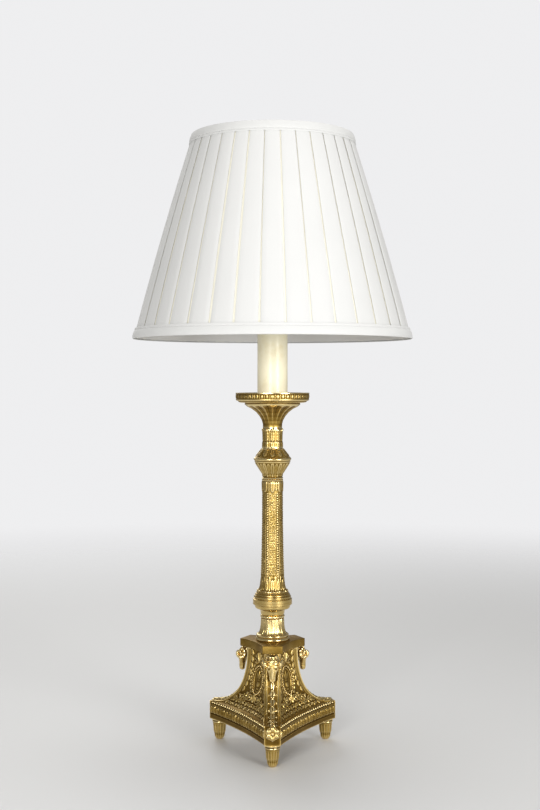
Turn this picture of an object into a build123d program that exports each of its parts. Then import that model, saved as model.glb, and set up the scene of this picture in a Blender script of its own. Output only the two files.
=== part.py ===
from build123d import *
from math import asin, cos, degrees, radians, sin, sqrt
import os

# Candlestick table lamp: a cast tripod base with ram's heads, a turned column strung on a hollow rod,
# a candle sleeve with a lamp socket, and a box-pleated cloth shade that hangs on a harp.
# Millimetres, +Z up. The origin is on the table, under the axis of the column. One corner of the base
# points along -Y, the harp stands in the XZ plane, and the cord inlet is in the back of the base.

os.makedirs("parts", exist_ok=True)

# ---------------------------------------------------------------- clearances
running_gap = 0.05   # round what turns or slides
seat_gap = 0.05      # between pieces that stand, hang or are screwed on one another
slip_gap = 0.1       # round the rod and the spigots of the pieces strung on it
cloth_gap = 0.3      # between cloth and the wires that carry it

# ---------------------------------------------------------------- feet
foot_height = 27.5
foot_circle_radius = 80.0
foot_top_radius = 9.0
foot_toe_radius = 5.8
foot_pad_radius = 4.2
foot_toe_height = 4.5
foot_collar_radius = 10.2
foot_collar_height = 3.0
foot_flute_count = 12
foot_flute_radius = 1.5
foot_flute_depth = 0.6
foot_stud_radius = 3.0
foot_stud_length = 12.0

# ---------------------------------------------------------------- base casting
corner_count = 3
front_angle = -90.0
slab_height = 23.5
slab_plinth_height = 6.5
slab_edge_height = 5.0
slab_band_inset = 1.2
slab_corner_distance = 89.0
slab_corner_width = 19.7
slab_side_hollow = 5.5
base_rise = 77.0
neck_corner_distance = 30.0
neck_corner_width = 16.0
neck_side_hollow = 4.0
sweep_exponent = 2.4     # how sharply the corners sweep from the slab up to the neck
sweep_steps = 7
casting_wall = 4.0
top_plate_thickness = 5.0
rib_width = 15.0
rib_height = 3.2
boss_radius = 8.5
boss_top_cover = 3.0
medallion_height = 88.0   # of its centre, above the table
medallion_width = 25.0
medallion_length = 38.0
medallion_relief = 1.2
medallion_rim = 2.2
medallion_depth = 3.5
rosette_height = 42.5     # of its centre, above the table
rosette_petals = 8
rosette_petal_radius = 2.6
rosette_petal_circle = 5.6
rosette_relief = 1.6
rosette_eye_radius = 3.0
rosette_eye_relief = 2.6

# ---------------------------------------------------------------- ram's heads
ram_reach = 48.7          # from the axis to the front of the face
ram_crown_height = 124.5
ram_brow_height = 115.5
ram_cheek_height = 107.0
ram_muzzle_height = 96.0
ram_crown_width = 13.0
ram_brow_width = 17.0
ram_cheek_width = 13.0
ram_muzzle_width = 7.5
ram_crown_depth = 9.0
ram_brow_depth = 13.0
ram_cheek_depth = 12.0
ram_muzzle_depth = 7.5
ram_neck_width = 12.0
ram_neck_bottom = 113.0
ram_horn_spread = 10.2    # from the middle of the face to the middle of the horn
ram_horn_curl_radius = 4.6
ram_horn_radius = 2.3
ram_horn_sides = 8
ram_horn_height = 117.0
ram_horn_setback = 6.6    # of the curl's centre, behind the front of the face
ram_horn_arc = 305.0
ram_screw_radius = 2.0
ram_screw_head_radius = 3.3
ram_screw_head_height = 2.2
ram_screw_grip = 7.0

# ---------------------------------------------------------------- cord inlet
inlet_height = 39.0
inlet_bore_radius = 3.0
inlet_barrel_radius = 4.2
inlet_flange_radius = 6.2
inlet_flange_thickness = 1.4
inlet_spotface_radius = 6.8
inlet_inner_length = 1.5

# ---------------------------------------------------------------- rod and its nut
rod_radius = 4.9
rod_bore_radius = 3.3
rod_below_plate = 14.0
base_washer_radius = 12.0
base_washer_thickness = 2.0
lock_washer_radius = 9.0
lock_washer_thickness = 1.6
lock_washer_split = 1.2
nut_width = 16.0
nut_height = 5.0
thin_nut_height = 3.5

# ---------------------------------------------------------------- column, from the base up
spigot_radius = 8.0
spigot_height = 1.5
abacus_thickness = 10.0
abacus_corner_distance = 41.7
abacus_corner_width = 26.3
abacus_side_hollow = 5.0
abacus_edge_chamfer = 0.6

plinth_torus_radius = 21.0
plinth_torus_height = 4.6
plinth_ring_radius = 20.5
plinth_ring_height = 3.4
leaf_neck_bottom_radius = 20.0
leaf_neck_top_radius = 14.6
leaf_neck_height = 20.0
rope_ring_radius = 14.2
rope_ring_height = 5.0

lower_knop_cup_radius = 20.1
lower_knop_cup_height = 7.6
lower_knop_ring_radius = 22.3
lower_knop_ring_height = 4.0
lower_knop_band_radius = 25.1
lower_knop_band_height = 8.8
lower_knop_step_radius = 22.6
lower_knop_step_height = 4.4
lower_knop_top_height = 3.2

shaft_foot_radius = 20.8
shaft_flare_height = 28.0
shaft_bottom_radius = 14.2
shaft_top_radius = 12.6
shaft_length = 95.0
leaf_collar_radius = 13.8
leaf_collar_height = 17.5
shaft_ring_radius = 13.5
shaft_ring_height = 3.5

upper_knop_waist_radius = 13.0
upper_knop_waist_height = 6.5
upper_knop_edge_radius = 22.8
upper_knop_radius = 24.2
upper_knop_lower_height = 15.0
upper_knop_edge_height = 6.5
upper_knop_upper_height = 11.0

capital_waist_radius = 12.7
capital_foot_radius = 13.5
capital_foot_height = 4.5
capital_waist_height = 13.0
capital_ring_radius = 14.1
capital_ring_height = 7.5

trumpet_waist_radius = 12.3
trumpet_waist_height = 5.0
trumpet_mouth_radius = 34.8
trumpet_height = 25.0

pan_step_radius = 36.0
pan_step_height = 2.0
pan_cove_radius = 46.0
pan_cove_height = 3.6
pan_radius = 47.5
pan_rim_height = 10.0
pan_bevel = 1.2
pan_dish_radius = 40.0
pan_dish_depth = 0.8

# ---------------------------------------------------------------- candle sleeve
sleeve_radius = 19.3
sleeve_wall = 1.2
sleeve_length = 103.0
sleeve_edge_round = 0.4
candle_seat_height = 4.0
candle_cap_thickness = 1.5
candle_cap_spigot = 5.0

# ---------------------------------------------------------------- lamp socket
socket_height = 72.0
socket_hub_radius = 7.5
socket_hub_height = 7.0
socket_cap_radius = 17.3
socket_cap_rise = 13.0
socket_cap_rim = 7.0
socket_cap_wall = 0.9
socket_shell_wall = 0.6
socket_bead_radius = 17.0
socket_bead_height = 2.4
liner_wall = 0.6
liner_short = 5.0
insulator_height = 20.0
insulator_floor = 2.0     # of the insulator above the inside of the cap
screw_shell_radius = 13.2   # inside, for a medium screw lamp cap
screw_shell_wall = 0.5
screw_shell_height = 22.0
screw_shell_eye_radius = 6.0
contact_radius = 3.2
contact_height = 1.4      # its top stays just below the floor of the screw shell
switch_height = 11.0      # of the stem, above the insulator's foot
switch_stem_radius = 1.6
switch_stem_depth = 7.0
switch_hole_radius = 2.6
switch_knob_clear = 1.5    # between the cap and the knob
switch_knob_radius = 6.0
switch_knob_length = 12.0
switch_knob_rib_count = 12
switch_knob_rib_radius = 0.7
switch_knob_round = 1.0

# ---------------------------------------------------------------- harp and finial
harp_height = 203.2       # from the underside of the saddle to the seat of the shade
saddle_strip_thickness = 1.6
saddle_strip_width = 12.0
saddle_arm_spread = 23.5
saddle_arm_height = 15.0
saddle_bend_radius = 3.5
saddle_tab_width = 4.6
saddle_tab_height = 6.0
harp_wire_radius = 1.8
harp_width = 112.0        # between the middles of the wire
harp_straight = 24.0
harp_bulge_bottom = 72.0  # above the saddle's arms
harp_bulge_top = 126.0
harp_shoulder = 26.0
harp_foot_bend = 30.0
harp_bulge_bend = 45.0
harp_flank_bend = 60.0
harp_top_bend = 24.0
ferrule_radius = 3.9
ferrule_bore_radius = 2.9
ferrule_length = 14.0
ferrule_lip = 0.5
harp_block_radius = 6.0
harp_block_height = 8.0
harp_seat_radius = 8.0
harp_seat_thickness = 2.0
harp_stud_radius = 3.15
harp_stud_length = 10.5
finial_base_radius = 7.4
finial_base_height = 2.2
finial_neck_radius = 4.4
finial_neck_height = 4.2
finial_ball_radius = 7.2
finial_ball_height = 13.5
finial_tip_radius = 2.0
finial_tip_height = 7.0
finial_bore_extra = 1.2

# ---------------------------------------------------------------- shade
hub_radius = 11.0
hub_hole_radius = 5.6
hub_thickness = 1.3
shade_drop = 17.0         # from the top ring down to the hub
shade_height = 256.0      # of the pleated cover
shade_above_ring = 1.6    # cover above the middle of the top ring
shade_top_radius = 102.9
shade_bottom_radius = 176.5
shade_belly = 1.9
shade_spans = 4
pleat_count = 36
pleat_gap = 3.0           # width of the groove between two pleats, at the bottom
pleat_gap_top = 1.9
pleat_fold = 1.5          # depth of that groove
cover_cloth = 0.9
frame_wire_radius = 1.5
rib_wire_radius = 1.2
rib_wire_count = 8
spider_wire_radius = 1.4
spider_arm_count = 3
spider_flat = 9.0         # arm's level stretch beside the hub
spider_slope = 16.0
lining_cloth = 0.6
trim_cloth = 2.2
top_trim_height = 13.0
bottom_trim_height = 14.0
trim_roll = 0.9           # how far the trims swell beyond their own thickness
trim_lip = 1.6            # cloth turned over the edge of the cover

# ---------------------------------------------------------------- heights that follow
slab_top = foot_height + slab_height
base_top = slab_top + base_rise
cavity_top = base_top - top_plate_thickness
abacus_top = base_top + abacus_thickness
rod_bore = rod_radius + slip_gap
rod_bottom = cavity_top - rod_below_plate


# ================================================================ the tripod's outline
def corner_angles():
    """Directions of the three corners."""
    return [front_angle + 360.0 / corner_count * number for number in range(corner_count)]


def side_distance(distance, width, hollow):
    """How far the middle of a hollow side lies from the axis."""
    return distance / 2 + width * sqrt(3) / 4 - hollow


def tripod_section(height, distance, width, hollow):
    """Level face with three flats, a distance from the axis, and three hollow sides between them."""
    half_turn = 180.0 / corner_count
    corner = Vector(distance, 0)
    along = Vector(0, width / 2)
    with BuildSketch(Plane.XY.offset(height)) as section:
        with BuildLine():
            for angle in corner_angles():
                start = (corner - along).rotate(Axis.Z, angle)
                end = (corner + along).rotate(Axis.Z, angle)
                following = (corner - along).rotate(Axis.Z, angle + 2 * half_turn)
                middle = Vector(side_distance(distance, width, hollow), 0).rotate(Axis.Z, angle + half_turn)
                Line(start, end)
                ThreePointArc(end, middle, following)
        make_face()
    return section.sketch


def inset_section(height, distance, width, hollow, inset):
    """The same face with its flats and the middles of its sides moved in alike."""
    return tripod_section(height, distance - inset, width, hollow + inset / 2)


def sweep_height(turn, proud=0.0):
    """Height on the hollow sweep of a corner, for a turn of 90 degrees at the slab to 0 at the neck."""
    return base_top - (base_rise - proud) * sin(radians(turn)) ** (2 / sweep_exponent)


def sweep_distance(height, proud=0.0):
    """Distance from the axis to the sweep of a corner at a height, or to a surface proud of it."""
    across = slab_corner_distance - neck_corner_distance - proud
    fall = min((base_top - height) / (base_rise - proud), 1.0)
    return slab_corner_distance - across * (1 - fall ** sweep_exponent) ** (1 / sweep_exponent)


def sweep_section(height):
    """Distance, width and hollow of the casting's outline at a height above the slab."""
    distance = sweep_distance(height)
    share = (distance - neck_corner_distance) / (slab_corner_distance - neck_corner_distance)
    width = neck_corner_width + share * (slab_corner_width - neck_corner_width)
    hollow = neck_side_hollow + share * (slab_side_hollow - neck_side_hollow)
    return distance, width, hollow


def cavity_section(height, shape_height):
    """Inside of the casting, one wall in from the outside, drawn at a height for the shape of another."""
    distance, width, hollow = sweep_section(max(shape_height, slab_top))
    inner_distance = min(sweep_distance(shape_height, -casting_wall), slab_corner_distance - casting_wall)
    inner_width = width - casting_wall * 2 / sqrt(3)
    inner_side = side_distance(distance, width, hollow) - casting_wall
    inner_hollow = side_distance(inner_distance, inner_width, 0) - inner_side
    return tripod_section(height, inner_distance, inner_width, inner_hollow)


def corner_plane(angle, distance=0.0, height=0.0):
    """Upright plane square to a corner's direction: X runs along the flat, Y is up, Z points out."""
    out = Vector(1, 0, 0).rotate(Axis.Z, angle)
    along = Vector(0, 1, 0).rotate(Axis.Z, angle)
    return Plane(origin=out * distance + Vector(0, 0, height), x_dir=along, z_dir=out)


# ================================================================ base casting
slab_side = side_distance(slab_corner_distance, slab_corner_width, slab_side_hollow)
cavity_floor = slab_top - casting_wall
sweep_turns = [90.0 * (1 - step / sweep_steps) for step in range(sweep_steps + 1)]
sweep_levels = [sweep_height(turn) for turn in sweep_turns]
cavity_levels = [sweep_height(turn, -casting_wall) for turn in sweep_turns[:-1]] + [cavity_top]
medallion_side = side_distance(*sweep_section(medallion_height))
medallion_low_side = side_distance(*sweep_section(medallion_height - medallion_length / 2))
medallion_high_side = side_distance(*sweep_section(medallion_height + medallion_length / 2))
medallion_tilt = degrees(asin((medallion_low_side - medallion_high_side) / medallion_length))
ram_neck_back = sweep_distance(ram_neck_bottom, rib_height) + seat_gap
ram_screw_height = (ram_neck_bottom + cavity_top) / 2

with BuildPart() as base_casting:
    # slab: plain edge, set-back band, edge for the beads
    slab_shape = (slab_corner_distance, slab_corner_width, slab_side_hollow)
    band_height = slab_height - slab_plinth_height - slab_edge_height
    extrude(tripod_section(foot_height, *slab_shape), amount=slab_plinth_height)
    extrude(inset_section(foot_height + slab_plinth_height, *slab_shape, slab_band_inset), amount=band_height)
    extrude(tripod_section(slab_top - slab_edge_height, *slab_shape), amount=slab_edge_height)
    # the body sweeps in from the slab to a narrow neck
    loft([tripod_section(height, *sweep_section(height)) for height in sweep_levels])
    # flat ribs stand on the three corners
    for angle in corner_angles():
        with BuildSketch(Plane(origin=(0, 0, 0), x_dir=corner_plane(angle).z_dir, z_dir=-corner_plane(angle).x_dir)):
            crest = [
                (sweep_distance(sweep_height(turn, rib_height), rib_height), sweep_height(turn, rib_height))
                for turn in sweep_turns
            ]
            with BuildLine():
                Spline(*crest)
                Line(crest[-1], (neck_corner_distance / 2, base_top))
                Line((neck_corner_distance / 2, base_top), (neck_corner_distance / 2, slab_top - slab_edge_height))
                Line(
                    (neck_corner_distance / 2, slab_top - slab_edge_height),
                    (slab_corner_distance, slab_top - slab_edge_height),
                )
                Line((slab_corner_distance, slab_top - slab_edge_height), crest[0])
            make_face()
        extrude(amount=rib_width / 2, both=True)
    # an upright oval medallion with a raised rim on each side
    for angle in corner_angles():
        side_plane = corner_plane(angle + 180.0 / corner_count, medallion_side, medallion_height)
        face_plane = side_plane.rotated((-medallion_tilt, 0, 0))
        with BuildSketch(face_plane.offset(-medallion_depth)):
            Ellipse(medallion_width / 2, medallion_length / 2)
        extrude(amount=medallion_depth + medallion_relief)
        with BuildSketch(face_plane.offset(medallion_relief)):
            Ellipse(medallion_width / 2 - medallion_rim, medallion_length / 2 - medallion_rim)
        extrude(amount=-medallion_relief, mode=Mode.SUBTRACT)
    # hollow inside, open below
    extrude(cavity_section(foot_height, cavity_floor), amount=cavity_floor - foot_height, mode=Mode.SUBTRACT)
    loft([cavity_section(height, height) for height in cavity_levels], mode=Mode.SUBTRACT)
    # bosses that take the feet's studs
    with BuildSketch(Plane.XY.offset(foot_height)):
        with PolarLocations(foot_circle_radius, corner_count, start_angle=front_angle):
            Circle(boss_radius)
    extrude(amount=slab_height - boss_top_cover)
    with BuildSketch(Plane.XY.offset(foot_height)):
        with PolarLocations(foot_circle_radius, corner_count, start_angle=front_angle):
            Circle(foot_stud_radius + slip_gap)
    extrude(amount=foot_stud_length + slip_gap, mode=Mode.SUBTRACT)
    # rosettes on the corner blocks
    for angle in corner_angles():
        block_plane = corner_plane(angle, slab_corner_distance - slab_band_inset, rosette_height)
        with BuildSketch(block_plane):
            Circle(rosette_petal_circle)
            with PolarLocations(rosette_petal_circle, rosette_petals):
                Circle(rosette_petal_radius)
        extrude(amount=slab_band_inset + rosette_relief)
        with BuildSketch(block_plane):
            Circle(rosette_eye_radius)
        extrude(amount=slab_band_inset + rosette_eye_relief)
    # hole for the rod, spigot for the abacus, screw holes for the ram's heads
    with BuildSketch(Plane.XY.offset(base_top)):
        Circle(spigot_radius)
    extrude(amount=spigot_height)
    with BuildSketch(Plane.XY.offset(cavity_top)):
        Circle(rod_bore)
    extrude(amount=top_plate_thickness + spigot_height, mode=Mode.SUBTRACT)
    for angle in corner_angles():
        with BuildSketch(corner_plane(angle, 0, ram_screw_height)):
            Circle(ram_screw_radius + slip_gap)
        extrude(amount=ram_neck_back, mode=Mode.SUBTRACT)
    # cord inlet in the back
    with BuildSketch(corner_plane(front_angle + 180, slab_side - slab_band_inset, inlet_height)):
        Circle(inlet_spotface_radius)
    extrude(amount=slab_side_hollow, mode=Mode.SUBTRACT)
    with BuildSketch(corner_plane(front_angle + 180, 0, inlet_height)):
        Circle(inlet_barrel_radius + slip_gap)
    extrude(amount=slab_side, mode=Mode.SUBTRACT)

base_casting.part.label = "base_casting"
export_step(base_casting.part, "parts/base_casting.step")


# ================================================================ cord inlet bushing
inlet_face = slab_side - slab_band_inset + seat_gap
with BuildPart() as cord_bushing:
    with BuildSketch(corner_plane(front_angle + 180, inlet_face, inlet_height)):
        Circle(inlet_flange_radius)
        Circle(inlet_bore_radius, mode=Mode.SUBTRACT)
    extrude(amount=inlet_flange_thickness)
    with BuildSketch(corner_plane(front_angle + 180, inlet_face, inlet_height)):
        Circle(inlet_barrel_radius)
        Circle(inlet_bore_radius, mode=Mode.SUBTRACT)
    extrude(amount=-(casting_wall + inlet_inner_length))
    fillet(cord_bushing.edges().group_by(Axis.Y)[-1].sort_by(SortBy.RADIUS)[-1], inlet_flange_thickness / 2)

cord_bushing.part.label = "cord_bushing"
export_step(cord_bushing.part, "parts/cord_bushing.step")


# ================================================================ feet
foot_taper = degrees(asin((foot_top_radius - foot_toe_radius) / (foot_height - foot_collar_height - foot_toe_height)))
flute_middle = (foot_height - foot_collar_height + foot_toe_height) / 2
flute_circle = (foot_top_radius + foot_toe_radius) / 2 + foot_flute_radius - foot_flute_depth
flute_length = foot_height - foot_collar_height - foot_toe_height

with BuildPart() as foot:
    with BuildSketch(Plane.XZ):
        with BuildLine():
            Line((0, 0), (foot_pad_radius, 0))
            Bezier((foot_pad_radius, 0), (foot_toe_radius, 0), (foot_toe_radius, foot_toe_height))
            Line((foot_toe_radius, foot_toe_height), (foot_top_radius, foot_height - foot_collar_height))
            Line(
                (foot_top_radius, foot_height - foot_collar_height),
                (foot_collar_radius, foot_height - foot_collar_height),
            )
            Line((foot_collar_radius, foot_height - foot_collar_height), (foot_collar_radius, foot_height))
            Line((foot_collar_radius, foot_height), (foot_stud_radius, foot_height))
            Line((foot_stud_radius, foot_height), (foot_stud_radius, foot_height + foot_stud_length))
            Line((foot_stud_radius, foot_height + foot_stud_length), (0, foot_height + foot_stud_length))
            Line((0, foot_height + foot_stud_length), (0, 0))
        make_face()
    revolve()
    # long flutes follow the taper
    with Locations((0, 0, flute_middle)):
        with PolarLocations(flute_circle, foot_flute_count):
            Cylinder(foot_flute_radius, flute_length, rotation=(0, foot_taper, 0), mode=Mode.SUBTRACT)

for number, angle in enumerate(corner_angles()):
    with BuildPart() as placed_foot:
        with Locations(Vector(foot_circle_radius, 0).rotate(Axis.Z, angle)):
            add(foot.part)
    placed_foot.part.label = f"foot_{number + 1}"
    export_step(placed_foot.part, f"parts/foot_{number + 1}.step")


# ================================================================ ram's heads
def skull_section(height, width, depth):
    """Oval across the head, with its front at the reach of the face."""
    with BuildSketch(Plane.XY.offset(height)) as section:
        with Locations((0, -(ram_reach - depth / 2))):
            Ellipse(width / 2, depth / 2)
    return section.sketch


with BuildPart() as ram_head:
    loft([
        skull_section(ram_muzzle_height, ram_muzzle_width, ram_muzzle_depth),
        skull_section(ram_cheek_height, ram_cheek_width, ram_cheek_depth),
        skull_section(ram_brow_height, ram_brow_width, ram_brow_depth),
        skull_section(ram_crown_height, ram_crown_width, ram_crown_depth),
    ])
    fillet(ram_head.edges().sort_by(Axis.Z)[0], ram_muzzle_width / 4)
    # neck, seated against the rib
    with BuildSketch(corner_plane(front_angle, ram_neck_back, (ram_neck_bottom + base_top - seat_gap) / 2)):
        Rectangle(ram_neck_width, base_top - seat_gap - ram_neck_bottom)
    extrude(amount=ram_reach - ram_brow_depth / 2 - ram_neck_back)
    # horns curl beside the brow
    for side in (-1, 1):
        curl_centre = (side * ram_horn_spread, -(ram_reach - ram_horn_setback), ram_horn_height)
        with BuildSketch(Plane.XY.offset(ram_horn_height)):
            with Locations((side * ram_horn_spread, curl_centre[1] + ram_horn_curl_radius)):
                RegularPolygon(ram_horn_radius, ram_horn_sides)
        revolve(axis=Axis(curl_centre, (1, 0, 0)), revolution_arc=ram_horn_arc)
    # blind hole for the fixing screw
    with BuildSketch(corner_plane(front_angle, ram_neck_back, ram_screw_height)):
        Circle(ram_screw_radius + slip_gap)
    extrude(amount=ram_screw_grip + slip_gap, mode=Mode.SUBTRACT)

for number in range(corner_count):
    with BuildPart() as placed_head:
        add(ram_head.part, rotation=(0, 0, 360.0 / corner_count * number))
    placed_head.part.label = f"ram_head_{number + 1}"
    export_step(placed_head.part, f"parts/ram_head_{number + 1}.step")

screw_seat = sweep_distance(ram_screw_height, -casting_wall) - seat_gap
with BuildPart() as ram_head_screws:
    for angle in corner_angles():
        with BuildSketch(corner_plane(angle, screw_seat, ram_screw_height)):
            Circle(ram_screw_head_radius)
        extrude(amount=-ram_screw_head_height)
        with BuildSketch(corner_plane(angle, screw_seat, ram_screw_height)):
            Circle(ram_screw_radius)
        extrude(amount=ram_neck_back + ram_screw_grip - screw_seat)

ram_head_screws.part.label = "ram_head_screws"
export_step(ram_head_screws.part, "parts/ram_head_screws.step")


# ================================================================ turned pieces strung on the rod
def member(kind, start, end):
    """One member of a turned profile, from one (radius, height) up to the next."""
    wide_height = start[1] if start[0] > end[0] else end[1]
    narrow_height = end[1] if start[0] > end[0] else start[1]
    if kind == "straight":
        Line(start, end)
    elif kind == "hollow":
        Bezier(start, (min(start[0], end[0]), wide_height), end)
    elif kind == "round":
        Bezier(start, (max(start[0], end[0]), narrow_height), end)
    elif kind == "bead":
        middle_radius = (start[0] + end[0]) / 2 + abs(end[1] - start[1]) / 4
        ThreePointArc(start, (middle_radius, (start[1] + end[1]) / 2), end)


def turned(bottom, members, has_spigot=True):
    """Turned solid on the rod: recessed below for the spigot it stands on, with a spigot on top.
    Each member is its kind, the radius where it ends and its own height."""
    recess = spigot_radius + slip_gap
    recess_top = bottom + spigot_height + slip_gap
    with BuildSketch(Plane.XZ) as profile:
        with BuildLine():
            Line((rod_bore, recess_top), (recess, recess_top))
            Line((recess, recess_top), (recess, bottom))
            point = (members[0][1], bottom)
            Line((recess, bottom), point)
            for kind, radius, height in members[1:]:
                following = (radius, point[1] + height)
                member(kind, point, following)
                point = following
            top = point[1]
            if has_spigot:
                Line(point, (spigot_radius, top))
                Line((spigot_radius, top), (spigot_radius, top + spigot_height))
                Line((spigot_radius, top + spigot_height), (rod_bore, top + spigot_height))
                Line((rod_bore, top + spigot_height), (rod_bore, recess_top))
            else:
                Line(point, (rod_bore, top))
                Line((rod_bore, top), (rod_bore, recess_top))
        make_face()
    revolve(profile.sketch)


with BuildPart() as abacus:
    extrude(
        tripod_section(base_top, abacus_corner_distance, abacus_corner_width, abacus_side_hollow),
        amount=abacus_thickness,
    )
    chamfer(abacus.edges().group_by(Axis.Z)[-1], abacus_edge_chamfer)
    with BuildSketch(Plane.XY.offset(abacus_top)):
        Circle(spigot_radius)
    extrude(amount=spigot_height)
    with BuildSketch(Plane.XY.offset(base_top)):
        Circle(spigot_radius + slip_gap)
    extrude(amount=spigot_height + slip_gap, mode=Mode.SUBTRACT)
    with BuildSketch(Plane.XY.offset(base_top)):
        Circle(rod_bore)
    extrude(amount=abacus_thickness + spigot_height, mode=Mode.SUBTRACT)

abacus.part.label = "abacus"
export_step(abacus.part, "parts/abacus.step")

column_base_members = [
    ("start", plinth_torus_radius, 0),
    ("bead", plinth_torus_radius, plinth_torus_height),
    ("straight", plinth_ring_radius, 0),
    ("bead", plinth_ring_radius, plinth_ring_height),
    ("straight", leaf_neck_bottom_radius, 0),
    ("hollow", leaf_neck_top_radius, leaf_neck_height),
    ("bead", rope_ring_radius, rope_ring_height),
]
lower_knop_members = [
    ("start", rope_ring_radius, 0),
    ("hollow", lower_knop_cup_radius, lower_knop_cup_height),
    ("round", lower_knop_ring_radius, lower_knop_ring_height),
    ("bead", lower_knop_band_radius, lower_knop_step_height / 4),
    ("straight", lower_knop_band_radius, lower_knop_band_height),
    ("round", lower_knop_step_radius, lower_knop_step_height),
    ("round", shaft_foot_radius, lower_knop_top_height),
]
shaft_members = [
    ("start", shaft_foot_radius, 0),
    ("hollow", shaft_bottom_radius, shaft_flare_height),
    ("straight", shaft_top_radius, shaft_length),
    ("straight", leaf_collar_radius, leaf_collar_height / 2),
    ("straight", shaft_ring_radius, leaf_collar_height / 2),
    ("bead", upper_knop_waist_radius, shaft_ring_height),
]
upper_knop_members = [
    ("start", upper_knop_waist_radius, 0),
    ("straight", upper_knop_waist_radius, upper_knop_waist_height),
    ("straight", upper_knop_edge_radius, upper_knop_lower_height),
    ("round", upper_knop_radius, upper_knop_edge_height / 2),
    ("round", upper_knop_edge_radius, upper_knop_edge_height / 2),
    ("straight", capital_foot_radius, upper_knop_upper_height),
]
capital_members = [
    ("start", capital_foot_radius, 0),
    ("straight", capital_foot_radius, capital_foot_height),
    ("hollow", capital_waist_radius, capital_waist_height / 4),
    ("straight", capital_foot_radius, capital_waist_height * 3 / 4),
    ("round", capital_ring_radius, capital_ring_height / 2),
    ("round", trumpet_waist_radius, capital_ring_height / 2),
]
trumpet_members = [
    ("start", trumpet_waist_radius, 0),
    ("straight", trumpet_waist_radius, trumpet_waist_height),
    ("hollow", trumpet_mouth_radius, trumpet_height),
]

column_pieces = [
    ("column_base", column_base_members),
    ("lower_knop", lower_knop_members),
    ("shaft", shaft_members),
    ("upper_knop", upper_knop_members),
    ("capital_neck", capital_members),
    ("pan_trumpet", trumpet_members),
]
column_height = abacus_top
for name, members in column_pieces:
    with BuildPart() as column_piece:
        turned(column_height, members)
    column_piece.part.label = name
    export_step(column_piece.part, f"parts/{name}.step")
    column_height += sum(height for kind, radius, height in members)

# ================================================================ drip pan
pan_bottom = column_height
pan_top = pan_bottom + pan_step_height + pan_cove_height + pan_rim_height
pan_members = [
    ("start", pan_step_radius, 0),
    ("bead", pan_step_radius, pan_step_height),
    ("hollow", pan_cove_radius, pan_cove_height),
    ("round", pan_radius, pan_bevel),
    ("straight", pan_radius, pan_rim_height - 2 * pan_bevel),
    ("round", pan_radius - pan_bevel, pan_bevel),
    ("straight", pan_dish_radius, -pan_dish_depth),
]
pan_floor = pan_top - pan_dish_depth
with BuildPart() as drip_pan:
    turned(pan_bottom, pan_members, has_spigot=False)

drip_pan.part.label = "drip_pan"
export_step(drip_pan.part, "parts/drip_pan.step")


# ================================================================ candle sleeve and what holds it
def washer(bottom, radius, thickness, bore):
    """Flat round piece on the axis."""
    with BuildSketch(Plane.XY.offset(bottom)) as ring:
        Circle(radius)
        Circle(bore, mode=Mode.SUBTRACT)
    extrude(ring.sketch, amount=thickness)


def hexagon_nut(bottom, thickness):
    """Hexagon nut on the rod."""
    with BuildSketch(Plane.XY.offset(bottom)) as hexagon:
        RegularPolygon(nut_width / 2, 6, major_radius=False)
        Circle(rod_bore, mode=Mode.SUBTRACT)
    extrude(hexagon.sketch, amount=thickness)


sleeve_bottom = pan_floor
sleeve_top = sleeve_bottom + sleeve_length
sleeve_inside = sleeve_radius - sleeve_wall
with BuildPart() as candle_sleeve:
    washer(sleeve_bottom, sleeve_radius, sleeve_length, sleeve_inside)
    fillet(candle_sleeve.edges().group_by(Axis.Z)[-1].sort_by(SortBy.RADIUS)[-1], sleeve_edge_round)
with BuildPart() as candle_seat:
    washer(pan_floor, sleeve_inside - slip_gap, candle_seat_height, rod_bore)
with BuildPart() as column_nut:
    hexagon_nut(pan_floor + candle_seat_height, nut_height)
with BuildPart() as candle_cap:
    washer(sleeve_top, sleeve_radius, candle_cap_thickness, rod_bore)
    washer(sleeve_top - candle_cap_spigot, sleeve_inside - slip_gap, candle_cap_spigot, rod_bore)

saddle_bottom = sleeve_top + candle_cap_thickness
saddle_floor = saddle_bottom + saddle_strip_thickness
with BuildPart() as saddle_nut:
    hexagon_nut(saddle_floor, thin_nut_height)

# ================================================================ rod and the fastening inside the base
socket_bottom = saddle_floor + thin_nut_height + seat_gap
rod_top = socket_bottom + socket_hub_height
washer_bottom = cavity_top - base_washer_thickness
lock_washer_bottom = washer_bottom - lock_washer_thickness
base_nut_bottom = lock_washer_bottom - nut_height
with BuildPart() as tie_rod:
    washer(rod_bottom, rod_radius, rod_top - rod_bottom, rod_bore_radius)
with BuildPart() as base_washer:
    washer(washer_bottom, base_washer_radius, base_washer_thickness, rod_bore)
with BuildPart() as lock_washer:
    washer(lock_washer_bottom, lock_washer_radius, lock_washer_thickness, rod_bore)
    with BuildSketch(Plane.XY.offset(lock_washer_bottom)):
        with Locations((lock_washer_radius, 0)):
            Rectangle(lock_washer_radius * 2 - rod_radius, lock_washer_split)
    extrude(amount=lock_washer_thickness, mode=Mode.SUBTRACT)
with BuildPart() as base_nut:
    hexagon_nut(base_nut_bottom, nut_height)

for name, piece in [
    ("candle_sleeve", candle_sleeve),
    ("candle_seat", candle_seat),
    ("column_nut", column_nut),
    ("candle_cap", candle_cap),
    ("saddle_nut", saddle_nut),
    ("tie_rod", tie_rod),
    ("base_washer", base_washer),
    ("lock_washer", lock_washer),
    ("base_nut", base_nut),
]:
    piece.part.label = name
    export_step(piece.part, f"parts/{name}.step")


# ================================================================ lamp socket
def cup_of_revolution(outside, inside):
    """Turned shell between two chains of (radius, height) points, both from the bottom up."""
    with BuildSketch(Plane.XZ) as profile:
        with BuildLine():
            Polyline(*outside, *reversed(inside), close=True)
        make_face()
    revolve(profile.sketch)


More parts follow.
